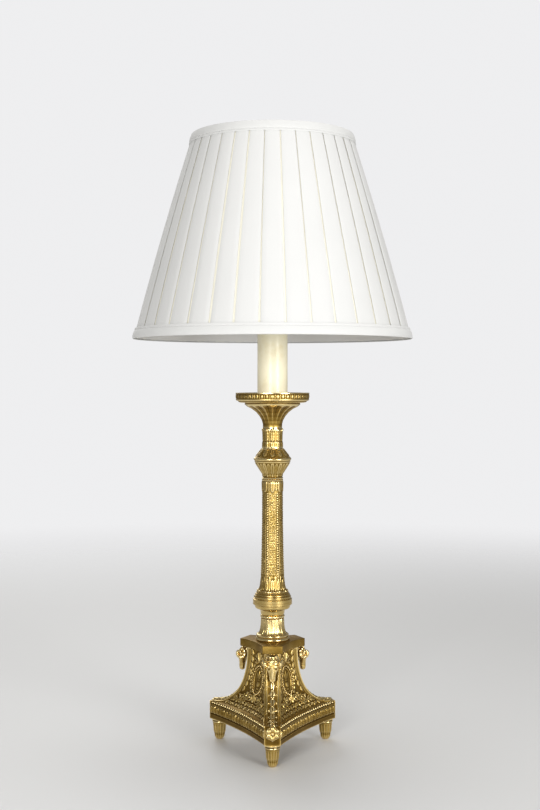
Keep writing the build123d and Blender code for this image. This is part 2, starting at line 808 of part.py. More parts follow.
socket_top = socket_bottom + socket_height
cap_shoulder = socket_bottom + socket_hub_height + socket_cap_rise
cap_top = cap_shoulder + socket_cap_rim
with BuildPart() as socket_cap:
    with BuildSketch(Plane.XZ):
        with BuildLine():
            Line((rod_bore, socket_bottom), (socket_hub_radius, socket_bottom))
            Line((socket_hub_radius, socket_bottom), (socket_hub_radius, socket_bottom + socket_hub_height))
            member(
                "round",
                (socket_hub_radius, socket_bottom + socket_hub_height),
                (socket_cap_radius, cap_shoulder),
            )
            Line((socket_cap_radius, cap_shoulder), (socket_cap_radius, cap_top))
            Line((socket_cap_radius, cap_top), (socket_cap_radius - socket_cap_wall, cap_top))
            Line(
                (socket_cap_radius - socket_cap_wall, cap_top),
                (socket_cap_radius - socket_cap_wall, cap_shoulder),
            )
            member(
                "round",
                (socket_cap_radius - socket_cap_wall, cap_shoulder),
                (socket_hub_radius - socket_cap_wall, socket_bottom + socket_hub_height + socket_cap_wall),
            )
            Line(
                (socket_hub_radius - socket_cap_wall, socket_bottom + socket_hub_height + socket_cap_wall),
                (rod_bore, socket_bottom + socket_hub_height + socket_cap_wall),
            )
            Line(
                (rod_bore, socket_bottom + socket_hub_height + socket_cap_wall),
                (rod_bore, socket_bottom),
            )
        make_face()
    revolve()

socket_shell_radius = socket_cap_radius - socket_cap_wall - seat_gap
shell_bottom = cap_shoulder + seat_gap
shell_inside = socket_shell_radius - socket_shell_wall
liner_radius = shell_inside - seat_gap
insulator_radius = liner_radius - liner_wall - seat_gap
insulator_bottom = cap_shoulder - insulator_floor
insulator_top = insulator_bottom + insulator_height
switch_level = insulator_bottom + switch_height
contact_bottom = insulator_top + screw_shell_wall - slip_gap - contact_height


def switch_hole():
    """Hole for the switch stem through a wall of the socket, towards the front."""
    with BuildSketch(corner_plane(front_angle, insulator_radius / 2, switch_level)) as hole:
        Circle(switch_hole_radius)
    extrude(hole.sketch, amount=socket_cap_radius, mode=Mode.SUBTRACT)


with BuildPart() as socket_shell:
    cup_of_revolution(
        [
            (socket_shell_radius, shell_bottom),
            (socket_shell_radius, socket_top - socket_bead_height),
            (socket_bead_radius, socket_top - socket_bead_height * 2 / 3),
            (socket_bead_radius, socket_top - socket_bead_height / 3),
            (socket_shell_radius, socket_top),
        ],
        [(shell_inside, shell_bottom), (shell_inside, socket_top)],
    )
    switch_hole()

with BuildPart() as socket_liner:
    cup_of_revolution(
        [(liner_radius, shell_bottom), (liner_radius, socket_top - liner_short)],
        [(liner_radius - liner_wall, shell_bottom), (liner_radius - liner_wall, socket_top - liner_short)],
    )
    switch_hole()

with BuildPart() as socket_insulator:
    with BuildSketch(Plane.XY.offset(insulator_bottom)):
        Circle(insulator_radius)
    extrude(amount=insulator_height)
    fillet(socket_insulator.edges().group_by(Axis.Z)[0], insulator_floor)
    with BuildSketch(corner_plane(front_angle, insulator_radius - switch_stem_depth, switch_level)):
        Circle(switch_stem_radius + running_gap)
    extrude(amount=switch_stem_depth + slip_gap, mode=Mode.SUBTRACT)
    with BuildSketch(Plane.XY.offset(contact_bottom)):
        Circle(contact_radius + slip_gap)
    extrude(amount=contact_height, mode=Mode.SUBTRACT)

with BuildPart() as screw_shell:
    washer(insulator_top, screw_shell_radius + screw_shell_wall, screw_shell_wall, screw_shell_eye_radius)
    washer(insulator_top, screw_shell_radius + screw_shell_wall, screw_shell_height, screw_shell_radius)

with BuildPart() as centre_contact:
    with BuildSketch(Plane.XY.offset(contact_bottom)):
        Circle(contact_radius)
    extrude(amount=contact_height)
    fillet(centre_contact.edges().group_by(Axis.Z)[-1], contact_height / 2)

# ================================================================ switch knob
stem_end = insulator_radius - switch_stem_depth + seat_gap
knob_face = socket_cap_radius + switch_knob_clear
with BuildPart() as switch_knob:
    with BuildSketch(corner_plane(front_angle, stem_end, switch_level)):
        Circle(switch_stem_radius)
    extrude(amount=knob_face - stem_end)
    with BuildSketch(corner_plane(front_angle, knob_face, switch_level)):
        Circle(switch_knob_radius)
    extrude(amount=switch_knob_length)
    chamfer(switch_knob.edges().group_by(Axis.Y)[0], switch_knob_round)
    with BuildSketch(corner_plane(front_angle, knob_face, switch_level)):
        with PolarLocations(switch_knob_radius, switch_knob_rib_count):
            Circle(switch_knob_rib_radius)
    extrude(amount=switch_knob_length - switch_knob_round)

for name, piece in [
    ("socket_cap", socket_cap),
    ("socket_shell", socket_shell),
    ("socket_liner", socket_liner),
    ("socket_insulator", socket_insulator),
    ("screw_shell", screw_shell),
    ("centre_contact", centre_contact),
    ("switch_knob", switch_knob),
]:
    piece.part.label = name
    export_step(piece.part, f"parts/{name}.step")

# ================================================================ harp saddle
arm_top = saddle_bottom + saddle_arm_height
tab_top = arm_top + saddle_tab_height
arm_outside = saddle_arm_spread + saddle_strip_thickness / 2
arm_inside = saddle_arm_spread - saddle_strip_thickness / 2
with BuildPart() as harp_saddle:
    with BuildSketch(Plane.XZ):
        with BuildLine():
            Polyline(
                (-arm_outside, arm_top),
                (-arm_outside, saddle_bottom),
                (arm_outside, saddle_bottom),
                (arm_outside, arm_top),
                (arm_inside, arm_top),
                (arm_inside, saddle_floor),
                (-arm_inside, saddle_floor),
                (-arm_inside, arm_top),
                close=True,
            )
        make_face()
    extrude(amount=saddle_strip_width / 2, both=True)
    outer_bends = harp_saddle.edges().filter_by(Axis.Y).group_by(Axis.Z)[0]
    fillet(outer_bends, saddle_bend_radius)
    inner_bends = harp_saddle.edges().filter_by(Axis.Y).filter_by_position(
        Axis.Z, saddle_floor - running_gap, saddle_floor + running_gap
    )
    fillet(inner_bends, saddle_bend_radius - saddle_strip_thickness)
    with BuildSketch(Plane.XY.offset(arm_top)):
        with Locations((-saddle_arm_spread, 0), (saddle_arm_spread, 0)):
            Rectangle(saddle_strip_thickness, saddle_tab_width)
    extrude(amount=saddle_tab_height)
    with BuildSketch(Plane.XY.offset(saddle_bottom)):
        Circle(rod_bore)
    extrude(amount=saddle_strip_thickness, mode=Mode.SUBTRACT)

# ================================================================ harp
seat_level = saddle_bottom + harp_height
block_bottom = seat_level - harp_seat_thickness - harp_block_height
wire_top = block_bottom + harp_block_height / 2
wire_foot = tab_top + cloth_gap
straight_top = wire_foot + harp_straight
bulge_bottom = arm_top + harp_bulge_bottom
bulge_top = arm_top + harp_bulge_top
right_side = [
    (saddle_arm_spread, wire_foot),
    (saddle_arm_spread, straight_top),
    (harp_width / 2, bulge_bottom),
    (harp_width / 2, bulge_top),
    (harp_shoulder, wire_top),
]
left_side = [(-across, height) for across, height in reversed(right_side)]
bends = [harp_foot_bend, harp_bulge_bend, harp_flank_bend, harp_top_bend]
with BuildPart() as harp_wire:
    with BuildLine(Plane.XZ) as wire_route:
        FilletPolyline(*right_side, *left_side, radius=bends + bends[::-1])
    with BuildSketch(Plane.XY.offset(wire_foot)):
        with Locations((saddle_arm_spread, 0)):
            Circle(harp_wire_radius)
    sweep(path=wire_route.wires()[0])

# block brazed over the top of the wire, with the seat and the stud for the shade
with BuildPart() as harp_stud:
    with BuildSketch(Plane.XY.offset(block_bottom)):
        Circle(harp_block_radius)
    extrude(amount=harp_block_height)
    with BuildSketch(Plane.XY.offset(seat_level - harp_seat_thickness)):
        Circle(harp_seat_radius)
    extrude(amount=harp_seat_thickness)
    with BuildSketch(Plane.XY.offset(seat_level)):
        Circle(harp_stud_radius)
    extrude(amount=harp_stud_length)
    chamfer(harp_stud.edges().group_by(Axis.Z)[-1], harp_stud_radius / 5)
    with BuildSketch(Plane.YZ):
        with Locations((0, wire_top)):
            Circle(harp_wire_radius + running_gap)
    extrude(amount=harp_seat_radius, both=True, mode=Mode.SUBTRACT)

# ================================================================ ferrules
ferrule_bottom = arm_top + seat_gap
with BuildPart() as ferrule:
    cup_of_revolution(
        [
            (ferrule_radius + ferrule_lip, ferrule_bottom),
            (ferrule_radius + ferrule_lip, ferrule_bottom + ferrule_lip * 3),
            (ferrule_radius, ferrule_bottom + ferrule_lip * 4),
            (ferrule_radius, ferrule_bottom + ferrule_length),
        ],
        [(ferrule_bore_radius, ferrule_bottom), (ferrule_bore_radius, ferrule_bottom + ferrule_length)],
    )
for name, across in [("ferrule_left", -saddle_arm_spread), ("ferrule_right", saddle_arm_spread)]:
    with BuildPart() as placed_ferrule:
        with Locations((across, 0, 0)):
            add(ferrule.part)
    placed_ferrule.part.label = name
    export_step(placed_ferrule.part, f"parts/{name}.step")

# ================================================================ finial
hub_bottom = seat_level + seat_gap
hub_top = hub_bottom + hub_thickness
finial_bottom = hub_top + seat_gap
finial_bore_top = seat_level + harp_stud_length + finial_bore_extra
finial_bore = harp_stud_radius + running_gap
neck_top = finial_bottom + finial_base_height + finial_neck_height
ball_top = neck_top + finial_ball_height
finial_top = ball_top + finial_tip_height
with BuildPart() as finial:
    with BuildSketch(Plane.XZ):
        with BuildLine():
            Line((finial_bore, finial_bore_top), (finial_bore, finial_bottom))
            Line((finial_bore, finial_bottom), (finial_base_radius, finial_bottom))
            Line((finial_base_radius, finial_bottom), (finial_base_radius, finial_bottom + finial_base_height))
            member("hollow", (finial_base_radius, finial_bottom + finial_base_height), (finial_neck_radius, neck_top))
            member("round", (finial_neck_radius, neck_top), (finial_ball_radius, neck_top + finial_ball_height / 3))
            member("round", (finial_ball_radius, neck_top + finial_ball_height / 3), (finial_tip_radius, ball_top))
            member("round", (finial_tip_radius, ball_top), (0, finial_top))
            Line((0, finial_top), (0, finial_bore_top))
            Line((0, finial_bore_top), (finial_bore, finial_bore_top))
        make_face()
    revolve()

for name, piece in [
    ("harp_saddle", harp_saddle),
    ("harp_wire", harp_wire),
    ("harp_stud", harp_stud),
    ("finial", finial),
]:
    piece.part.label = name
    export_step(piece.part, f"parts/{name}.step")

# ================================================================ shade frame
ring_level = hub_bottom + hub_thickness / 2 + shade_drop
shade_top = ring_level + shade_above_ring
shade_bottom = shade_top - shade_height
facet = cos(radians(180.0 / pleat_count))


def cover_radius(height):
    """Radius of the cover over the pleats, with the slight belly of the stretched cloth."""
    share = (height - shade_bottom) / shade_height
    cone = shade_bottom_radius + share * (shade_top_radius - shade_bottom_radius)
    return cone + shade_belly * 4 * share * (1 - share)


cone_slope = (shade_bottom_radius - shade_top_radius) / shade_height
cone_stretch = sqrt(1 + cone_slope ** 2)
cover_thickness = pleat_fold + cover_cloth


def wire_seat(height, wire_radius):
    """Distance from the axis to a wire that lies just inside the cover."""
    return cover_radius(height) * facet - cover_thickness - (wire_radius + cloth_gap) * cone_stretch


bottom_ring_level = shade_bottom + frame_wire_radius + cloth_gap
top_ring_radius = wire_seat(ring_level, frame_wire_radius)
bottom_ring_radius = wire_seat(bottom_ring_level, frame_wire_radius)
rib_start = Vector(bottom_ring_radius, 0, bottom_ring_level)
rib_way = Vector(top_ring_radius, 0, ring_level) - rib_start
rib_inset = frame_wire_radius + seat_gap


def wire_ring(radius, level):
    """Closed ring of frame wire."""
    with BuildSketch(Plane.XZ) as section:
        with Locations((radius, level)):
            Circle(frame_wire_radius)
    revolve(section.sketch)


with BuildPart() as shade_top_ring:
    wire_ring(top_ring_radius, ring_level)
with BuildPart() as shade_bottom_ring:
    wire_ring(bottom_ring_radius, bottom_ring_level)

# upright wires, butted between the two rings
for number in range(rib_wire_count):
    turn = 360.0 / rib_wire_count * (number + 0.5)
    rib_plane = Plane(origin=rib_start.rotate(Axis.Z, turn), z_dir=rib_way.rotate(Axis.Z, turn))
    with BuildPart() as shade_rib:
        with BuildSketch(rib_plane.offset(rib_inset)):
            Circle(rib_wire_radius)
        extrude(amount=rib_way.length - 2 * rib_inset)
    shade_rib.part.label = f"shade_rib_{number + 1}"
    export_step(shade_rib.part, f"parts/shade_rib_{number + 1}.step")

# spider: the hub that sits on the harp, and three arms up to the top ring
hub_level = hub_bottom + hub_thickness / 2
arm_start = (hub_hole_radius + hub_radius) / 2
spider_turns = [front_angle + 360.0 / spider_arm_count * (number + 0.5) for number in range(spider_arm_count)]
with BuildPart() as shade_spider:
    washer(hub_bottom, hub_radius, hub_thickness, hub_hole_radius)
    for turn in spider_turns:
        arm_plane = Plane(origin=(0, 0, 0), x_dir=Vector(1, 0, 0).rotate(Axis.Z, turn),
                          z_dir=Vector(0, -1, 0).rotate(Axis.Z, turn))
        with BuildLine(arm_plane) as arm_route:
            FilletPolyline(
                (arm_start, hub_level),
                (arm_start + spider_flat, hub_level),
                (arm_start + spider_flat + spider_slope, ring_level),
                (top_ring_radius - rib_inset, ring_level),
                radius=spider_wire_radius * 3,
            )
        with BuildSketch(corner_plane(turn, arm_start, hub_level)):
            Circle(spider_wire_radius)
        sweep(path=arm_route.wires()[0])

# ================================================================ shade cloth
def pleated_section(height):
    """Level face of the cover: one flat pleat after another, with a narrow groove between them."""
    radius = cover_radius(height)
    share = (height - shade_bottom) / shade_height
    groove = pleat_gap + share * (pleat_gap_top - pleat_gap)
    half_groove = degrees(groove / 2 / radius)
    corners = []
    for number in range(pleat_count):
        groove_angle = 360.0 / pleat_count * number
        for turn, distance in [
            (-half_groove, radius),
            (-half_groove, radius - pleat_fold),
            (half_groove, radius - pleat_fold),
            (half_groove, radius),
        ]:
            corners.append(Vector(distance, 0).rotate(Axis.Z, groove_angle + turn))
    with BuildSketch(Plane.XY.offset(height)) as section:
        with BuildLine():
            Polyline(*corners, close=True)
        make_face()
    return section.sketch


span_levels = [shade_bottom + shade_height * span / shade_spans for span in range(shade_spans + 1)]
with BuildPart() as shade_cover:
    loft([pleated_section(level) for level in span_levels], ruled=True)
    with BuildSketch(Plane.XZ):
        inside = [(cover_radius(level) * facet - cover_thickness, level) for level in span_levels]
        with BuildLine():
            Polyline((0, shade_bottom), *inside, (0, shade_top), close=True)
        make_face()
    revolve(mode=Mode.SUBTRACT)

# lining: a plain cone inside the wires
lining_bottom_radius = bottom_ring_radius - (frame_wire_radius + cloth_gap) * cone_stretch
lining_top_radius = top_ring_radius - (frame_wire_radius + cloth_gap) * cone_stretch
lining_slope = (lining_bottom_radius - lining_top_radius) / (ring_level - bottom_ring_level)
lining_reach = frame_wire_radius
with BuildPart() as shade_lining:
    low = bottom_ring_level - lining_reach
    high = ring_level + lining_reach
    low_radius = lining_bottom_radius + lining_slope * lining_reach
    high_radius = lining_top_radius - lining_slope * lining_reach
    cup_of_revolution(
        [(low_radius, low), (high_radius, high)],
        [(low_radius - lining_cloth, low), (high_radius - lining_cloth, high)],
    )
    # notches in the top edge for the arms of the spider
    notch = spider_wire_radius + cloth_gap
    for turn in spider_turns:
        with BuildSketch(corner_plane(turn, lining_top_radius / 2, high)):
            Rectangle(2 * notch, 2 * (notch + lining_reach))
        extrude(amount=lining_top_radius, mode=Mode.SUBTRACT)

# ================================================================ shade trims
def trim(edge, far_edge, away):
    """Band of cloth round the shade: it lies on the cover between two heights, swells outwards,
    and turns in over the edge of the cover. away is 1 at the top of the shade and -1 at the bottom."""
    lip = edge + away * (cloth_gap + trim_lip)
    under_edge = edge + away * cloth_gap
    inner_edge = wire_seat(edge, frame_wire_radius)
    near = cover_radius(edge) + cloth_gap
    far = cover_radius(far_edge) + cloth_gap
    middle_height = (lip + far_edge) / 2
    middle = (cover_radius(middle_height) + cloth_gap + trim_cloth + trim_roll, middle_height)
    with BuildSketch(Plane.XZ) as profile:
        with BuildLine():
            Line((inner_edge, under_edge), (near, under_edge))
            Line((near, under_edge), (far, far_edge))
            Line((far, far_edge), (far + trim_cloth / 2, far_edge))
            ThreePointArc((far + trim_cloth / 2, far_edge), middle, (near + trim_cloth / 2, lip))
            Line((near + trim_cloth / 2, lip), (inner_edge, lip))
            Line((inner_edge, lip), (inner_edge, under_edge))
        make_face()
    revolve(profile.sketch)


with BuildPart() as shade_top_trim:
    trim(shade_top, shade_top - top_trim_height + trim_lip, 1)
with BuildPart() as shade_bottom_trim:
    trim(shade_bottom, shade_bottom + bottom_trim_height - trim_lip, -1)

for name, piece in [
    ("shade_top_ring", shade_top_ring),
    ("shade_bottom_ring", shade_bottom_ring),
    ("shade_spider", shade_spider),
    ("shade_cover", shade_cover),
    ("shade_lining", shade_lining),
    ("shade_top_trim", shade_top_trim),
    ("shade_bottom_trim", shade_bottom_trim),
]:
    piece.part.label = name
    export_step(piece.part, f"parts/{name}.step")
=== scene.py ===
from math import atan2, cos, exp, floor, hypot, pi, radians, sin, sqrt, tau
import random

import bmesh
import bpy
import numpy as np
from mathutils import Matrix, Vector, noise


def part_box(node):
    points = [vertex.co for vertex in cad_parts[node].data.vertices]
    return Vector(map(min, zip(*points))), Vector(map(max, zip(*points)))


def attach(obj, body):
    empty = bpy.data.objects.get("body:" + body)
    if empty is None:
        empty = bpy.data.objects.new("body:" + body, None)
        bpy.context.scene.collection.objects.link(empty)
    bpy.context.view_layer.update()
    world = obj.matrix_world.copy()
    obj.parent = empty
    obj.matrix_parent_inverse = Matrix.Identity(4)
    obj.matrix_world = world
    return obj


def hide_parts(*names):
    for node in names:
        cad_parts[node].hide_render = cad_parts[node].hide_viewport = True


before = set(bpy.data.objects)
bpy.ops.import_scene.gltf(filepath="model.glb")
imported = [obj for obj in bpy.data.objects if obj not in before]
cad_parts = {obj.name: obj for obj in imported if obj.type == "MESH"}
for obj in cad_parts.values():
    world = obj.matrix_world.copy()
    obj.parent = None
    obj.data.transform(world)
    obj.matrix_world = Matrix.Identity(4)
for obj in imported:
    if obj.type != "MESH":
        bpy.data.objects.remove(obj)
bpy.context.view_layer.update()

# ================================================================ table, light and camera
# A plain pale table in a pale room. Soft boxes stand left and right of the camera and behind the
# lamp, and one hangs above. The camera is 1.6 m from the lamp's axis, a little above the drip pan.
camera_distance = 1.599
camera_height = 0.470
picture_height_px = 810
focal_length_px = 1250
horizon_px = 380          # row of the picture at the camera's height
axis_px = 272.5           # column of the picture at the lamp's axis
picture_middle_px = (270, 405)

camera = bpy.data.objects.new("camera", bpy.data.cameras.new("camera"))
camera.data.lens = camera.data.sensor_width * focal_length_px / picture_height_px
camera.data.shift_x = (picture_middle_px[0] - axis_px) / picture_height_px
camera.data.shift_y = (horizon_px - picture_middle_px[1]) / picture_height_px
camera.location = (0, -camera_distance, camera_height)
camera.rotation_euler = (pi / 2, 0, 0)
bpy.context.scene.collection.objects.link(camera)
bpy.context.scene.camera = camera
bpy.context.scene.view_settings.view_transform = "Standard"
column_middle = Vector((0, 0, 0.4))


def soft_box(name, place, size, watts):
    """Square area lamp that looks at the middle of the column."""
    lamp = bpy.data.objects.new(name, bpy.data.lights.new(name, "AREA"))
    lamp.data.size = size
    lamp.data.energy = watts
    lamp.location = place
    lamp.rotation_euler = (Vector(place) - column_middle).to_track_quat("Z", "Y").to_euler()
    bpy.context.scene.collection.objects.link(lamp)


soft_box("key_box", (-0.62, -2.15, 0.74), 0.8, 25)
soft_box("fill_box", (1.5, -1.8, 0.64), 0.8, 29)
soft_box("top_box", (0.1, 0.3, 2.2), 1.2, 14)
soft_box("back_box", (-0.6, 2.0, 1.2), 1.2, 10)


def add_node(tree, kind, values=None):
    """New node of a tree, with values for some of its inputs."""
    node = tree.nodes.new(kind)
    for socket, value in (values or {}).items():
        node.inputs[socket].default_value = value
    return node


def join(tree, *pairs):
    """Links the output of each pair to its input."""
    for output, socket in pairs:
        tree.links.new(output, socket)


# the camera sees the room in pale grey; it lights the lamp more weakly, and shows weaker still in metal
room_light, room_shine = 0.36, 0.22
world = bpy.data.worlds.new("pale_room")
bpy.context.scene.world = world
world.use_nodes = True
room = world.node_tree
room.nodes.clear()
room_out = add_node(room, "ShaderNodeOutputWorld")
seen = add_node(room, "ShaderNodeBackground", {"Color": (0.86, 0.86, 0.87, 1)})
shining = add_node(room, "ShaderNodeBackground", {"Color": (1, 0.985, 0.96, 1)})
strength = add_node(room, "ShaderNodeMapRange", {"To Min": room_light, "To Max": room_shine})
rays = add_node(room, "ShaderNodeLightPath")
direct = add_node(room, "ShaderNodeMath")
direct.operation = "MAXIMUM"
which = add_node(room, "ShaderNodeMixShader")
join(
    room,
    (rays.outputs["Is Glossy Ray"], strength.inputs["Value"]),
    (strength.outputs["Result"], shining.inputs["Strength"]),
    (rays.outputs["Is Camera Ray"], direct.inputs[0]),
    (rays.outputs["Is Transmission Ray"], direct.inputs[1]),
    (direct.outputs[0], which.inputs[0]),
    (shining.outputs[0], which.inputs[1]),
    (seen.outputs[0], which.inputs[2]),
    (which.outputs[0], room_out.inputs[0]),
)

table_radius = 3.0
table_shape = bmesh.new()
bmesh.ops.create_circle(table_shape, cap_ends=True, segments=96, radius=table_radius)
table_mesh = bpy.data.meshes.new("table")
table_shape.to_mesh(table_mesh)
table_shape.free()
table = bpy.data.objects.new("table", table_mesh)
bpy.context.scene.collection.objects.link(table)


def new_material(name, values):
    """New material, with its node tree and its surface shader, which has some values set."""
    material = bpy.data.materials.new(name)
    material.use_nodes = True
    surface = material.node_tree.nodes["Principled BSDF"]
    for socket, value in values.items():
        surface.inputs[socket].default_value = value
    return material, material.node_tree, surface


# the table's edge fades into the room
fade_start, fade_end = 0.7, 2.6
table_values = {"Base Color": (0.74, 0.74, 0.735, 1), "Roughness": 0.55}
table_paint, tree, surface = new_material("pale_table", table_values)
place = add_node(tree, "ShaderNodeTexCoord")
how_far = add_node(tree, "ShaderNodeVectorMath")
how_far.operation = "LENGTH"
fade = add_node(tree, "ShaderNodeMapRange", {"From Min": fade_start, "From Max": fade_end})
fade.interpolation_type = "SMOOTHSTEP"
clear = add_node(tree, "ShaderNodeBsdfTransparent")
edge = add_node(tree, "ShaderNodeMixShader")
join(
    tree,
    (place.outputs["Object"], how_far.inputs[0]),
    (how_far.outputs["Value"], fade.inputs["Value"]),
    (fade.outputs["Result"], edge.inputs[0]),
    (surface.outputs[0], edge.inputs[1]),
    (clear.outputs[0], edge.inputs[2]),
    (edge.outputs[0], tree.nodes["Material Output"].inputs["Surface"]),
)
table_mesh.materials.append(table_paint)

# ================================================================ feet
# Three turned bronze feet, fluted with a round file, with a small collar under the casting. Each is
# screwed up into a boss of the base. All the gilt pieces are worked in millimetres, like this one.
millimetre = 0.001


def settle(bm, name, body, material, stands_for=(), crease=35.0):
    """Turns a shape worked in millimetres into a finished piece in metres."""
    bmesh.ops.remove_doubles(bm, verts=bm.verts[:], dist=0.002)
    bmesh.ops.recalc_face_normals(bm, faces=bm.faces[:])
    bmesh.ops.scale(bm, vec=Vector((millimetre,) * 3), verts=bm.verts[:])
    mesh = bpy.data.meshes.new(name)
    bm.to_mesh(mesh)
    bm.free()
    mesh.shade_smooth()
    mesh.set_sharp_from_angle(angle=radians(crease))
    piece = bpy.data.objects.new(name, mesh)
    bpy.context.scene.collection.objects.link(piece)
    mesh.materials.append(material)
    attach(piece, body)
    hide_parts(*stands_for)
    return piece


def read_layer(items, name, width, kind=np.float64):
    """All values that a mesh keeps for its points or edges, as the rows of an array."""
    values = np.empty(len(items) * width, dtype=kind)
    items.foreach_get(name, values)
    return values.reshape(-1, width)


def rub_up(piece, depth=0.5, rounds=10, level_mark=0.5):
    """Marks how far each point stands proud of what is round it: 0 in a hollow, 1 on a crest."""
    mesh = piece.data
    place = read_layer(mesh.vertices, "co", 3)
    outwards = read_layer(mesh.vertices, "normal", 3)
    ends = read_layer(mesh.edges, "vertices", 2, np.int64)
    first, second = ends.T
    count = np.maximum(np.bincount(ends.ravel(), minlength=len(place)), 1)[:, None]
    level = place.copy()
    for turn in range(rounds):
        total = np.empty_like(level)
        for axis in range(3):
            total[:, axis] = np.bincount(first, level[second, axis], len(place))
            total[:, axis] += np.bincount(second, level[first, axis], len(place))
        level = (level + total / count) / 2
    proud = ((place - level) * outwards).sum(axis=1) / (depth * millimetre)
    # points that carry painted shade come out darker
    painted_shade = mesh.attributes.get("painted_shade")
    if painted_shade:
        proud = proud - read_layer(painted_shade.data, "value", 1, np.float32)[:, 0]
    mark = mesh.attributes.new("proud", "FLOAT", "POINT")
    mark.data.foreach_set("value", np.clip(level_mark + proud, 0, 1).astype(np.float32))


def member_points(kind, start, end, spacing):
    """Points of one member of a turned profile, from one (radius, height) up to the next."""
    wide, narrow = (start, end) if start[0] > end[0] else (end, start)
    middle = ((start[0] + end[0]) / 2, (start[1] + end[1]) / 2)
    if kind == "hollow":
        middle = (narrow[0], wide[1])
    elif kind == "round":
        middle = (wide[0], narrow[1])
    elif kind == "bead":
        middle = (middle[0] + abs(end[1] - start[1]) / 2, middle[1])
    count = max(1, round(hypot(end[0] - start[0], end[1] - start[1]) / spacing))
    points = []
    for step in range(1, count + 1):
        share = step / count
        near, bend, far = (1 - share) ** 2, 2 * share * (1 - share), share ** 2
        points.append(tuple(near * a + bend * b + far * c for a, b, c in zip(start, middle, end)))
    return points


def turn_on_lathe(bottom, members, steps, spacing=0.8, bore=5.0):
    """Turned ring from a list of (kind, radius, height of the member), closed round its bore."""
    profile = [(bore, bottom), (members[0][1], bottom)]
    for kind, radius, height in members[1:]:
        profile += member_points(kind, profile[-1], (radius, profile[-1][1] + height), spacing)
    profile.append((bore, profile[-1][1]))
    bm = bmesh.new()
    chain = [bm.verts.new((radius, 0, height)) for radius, height in profile]
    loop = [bm.edges.new(pair) for pair in zip(chain, chain[1:] + chain[:1])]
    bmesh.ops.spin(bm, geom=chain + loop, axis=(0, 0, 1), angle=tau, steps=steps, use_merge=True)
    bmesh.ops.remove_doubles(bm, verts=bm.verts[:], dist=0.001)
    bmesh.ops.recalc_face_normals(bm, faces=bm.faces[:])
    bm.normal_update()
    return bm


def lift_points(bm, lifts):
    """Moves each point along its normal by its own lift."""
    for vertex, lift in zip(bm.verts, lifts):
        vertex.co += vertex.normal * lift


def chase(bm, pattern, clear=8.0):
    """Lifts each point past the clear radius by the pattern at its angle, height and radius."""
    lifts = []
    for vertex in bm.verts:
        angle, radius = atan2(vertex.co.y, vertex.co.x), hypot(vertex.co.x, vertex.co.y)
        lifts.append(pattern(angle, vertex.co.z, radius) if radius >= clear else 0)
    lift_points(bm, lifts)


def across(angle, count, offset=0.0):
    """Place across one of the repeats round the axis, -0.5 to 0.5, with one of them in front."""
    return ((angle + pi / 2) / tau * count + 0.5 + offset) % 1 - 0.5


def across_mm(angle, count, radius, offset=0.0):
    """The same place in millimetres, at a radius."""
    return across(angle, count, offset) * tau * radius / count


def band(value, low, high, soft):
    """1 between two heights, 0 outside them, with soft ends."""
    rise = min(max((value - low) / soft, 0), 1)
    fall = min(max((high - value) / soft, 0), 1)
    share = min(rise, fall)
    return share * share * (3 - 2 * share)


def node_group(name, inputs, outputs):
    """Empty shader node group, with its input and output nodes."""
    tree = bpy.data.node_groups.new(name, "ShaderNodeTree")
    for socket, kind in inputs:
        tree.interface.new_socket(socket, in_out="INPUT", socket_type=kind)
    for socket, kind in outputs:
        tree.interface.new_socket(socket, in_out="OUTPUT", socket_type=kind)
    return tree, tree.nodes.new("NodeGroupInput"), tree.nodes.new("NodeGroupOutput")


def noise_at(tree, scale, detail=2.0):
    """Noise over the object's own coordinates."""
    place = add_node(tree, "ShaderNodeTexCoord")
    grain = add_node(tree, "ShaderNodeTexNoise", {"Scale": scale, "Detail": detail})
    tree.links.new(place.outputs["Object"], grain.inputs["Vector"])
    return grain.outputs["Fac"]


def sum_of(tree, *parts):
    """Adds up (socket, factor, offset) parts."""
    total = None
    for socket, factor, offset in parts:
        term = add_node(tree, "ShaderNodeMath")
        term.operation = "MULTIPLY_ADD"
        tree.links.new(socket, term.inputs[0])
        term.inputs[1].default_value = factor
        if total is None:
            term.inputs[2].default_value = offset
        else:
            tree.links.new(total, term.inputs[2])
        total = term.outputs[0]
    return total


def ramp_of(tree, socket, stops):
    """Colour ramp with (place, colour) stops."""
    ramp = add_node(tree, "ShaderNodeValToRGB")
    while len(ramp.color_ramp.elements) < len(stops):
        ramp.color_ramp.elements.new(0.5)
    for element, (place, colour) in zip(ramp.color_ramp.elements, stops):
        element.position = place
        element.color = (*colour, 1)
    tree.links.new(socket, ramp.inputs["Fac"])
    return ramp.outputs["Color"]


def mark_of(tree, name):
    """Mark that a piece carries on its points."""
    mark = add_node(tree, "ShaderNodeAttribute")
    mark.attribute_name = name
    return mark.outputs["Fac"]


def raise_grain(tree, surface, height, strength, distance):
    """Bumps a surface by a height. The distance is the depth of the bumps in metres."""
    relief = add_node(tree, "ShaderNodeBump", {"Strength": strength, "Distance": distance})
    join(tree, (height, relief.inputs["Height"]), (relief.outputs["Normal"], surface.inputs["Normal"]))


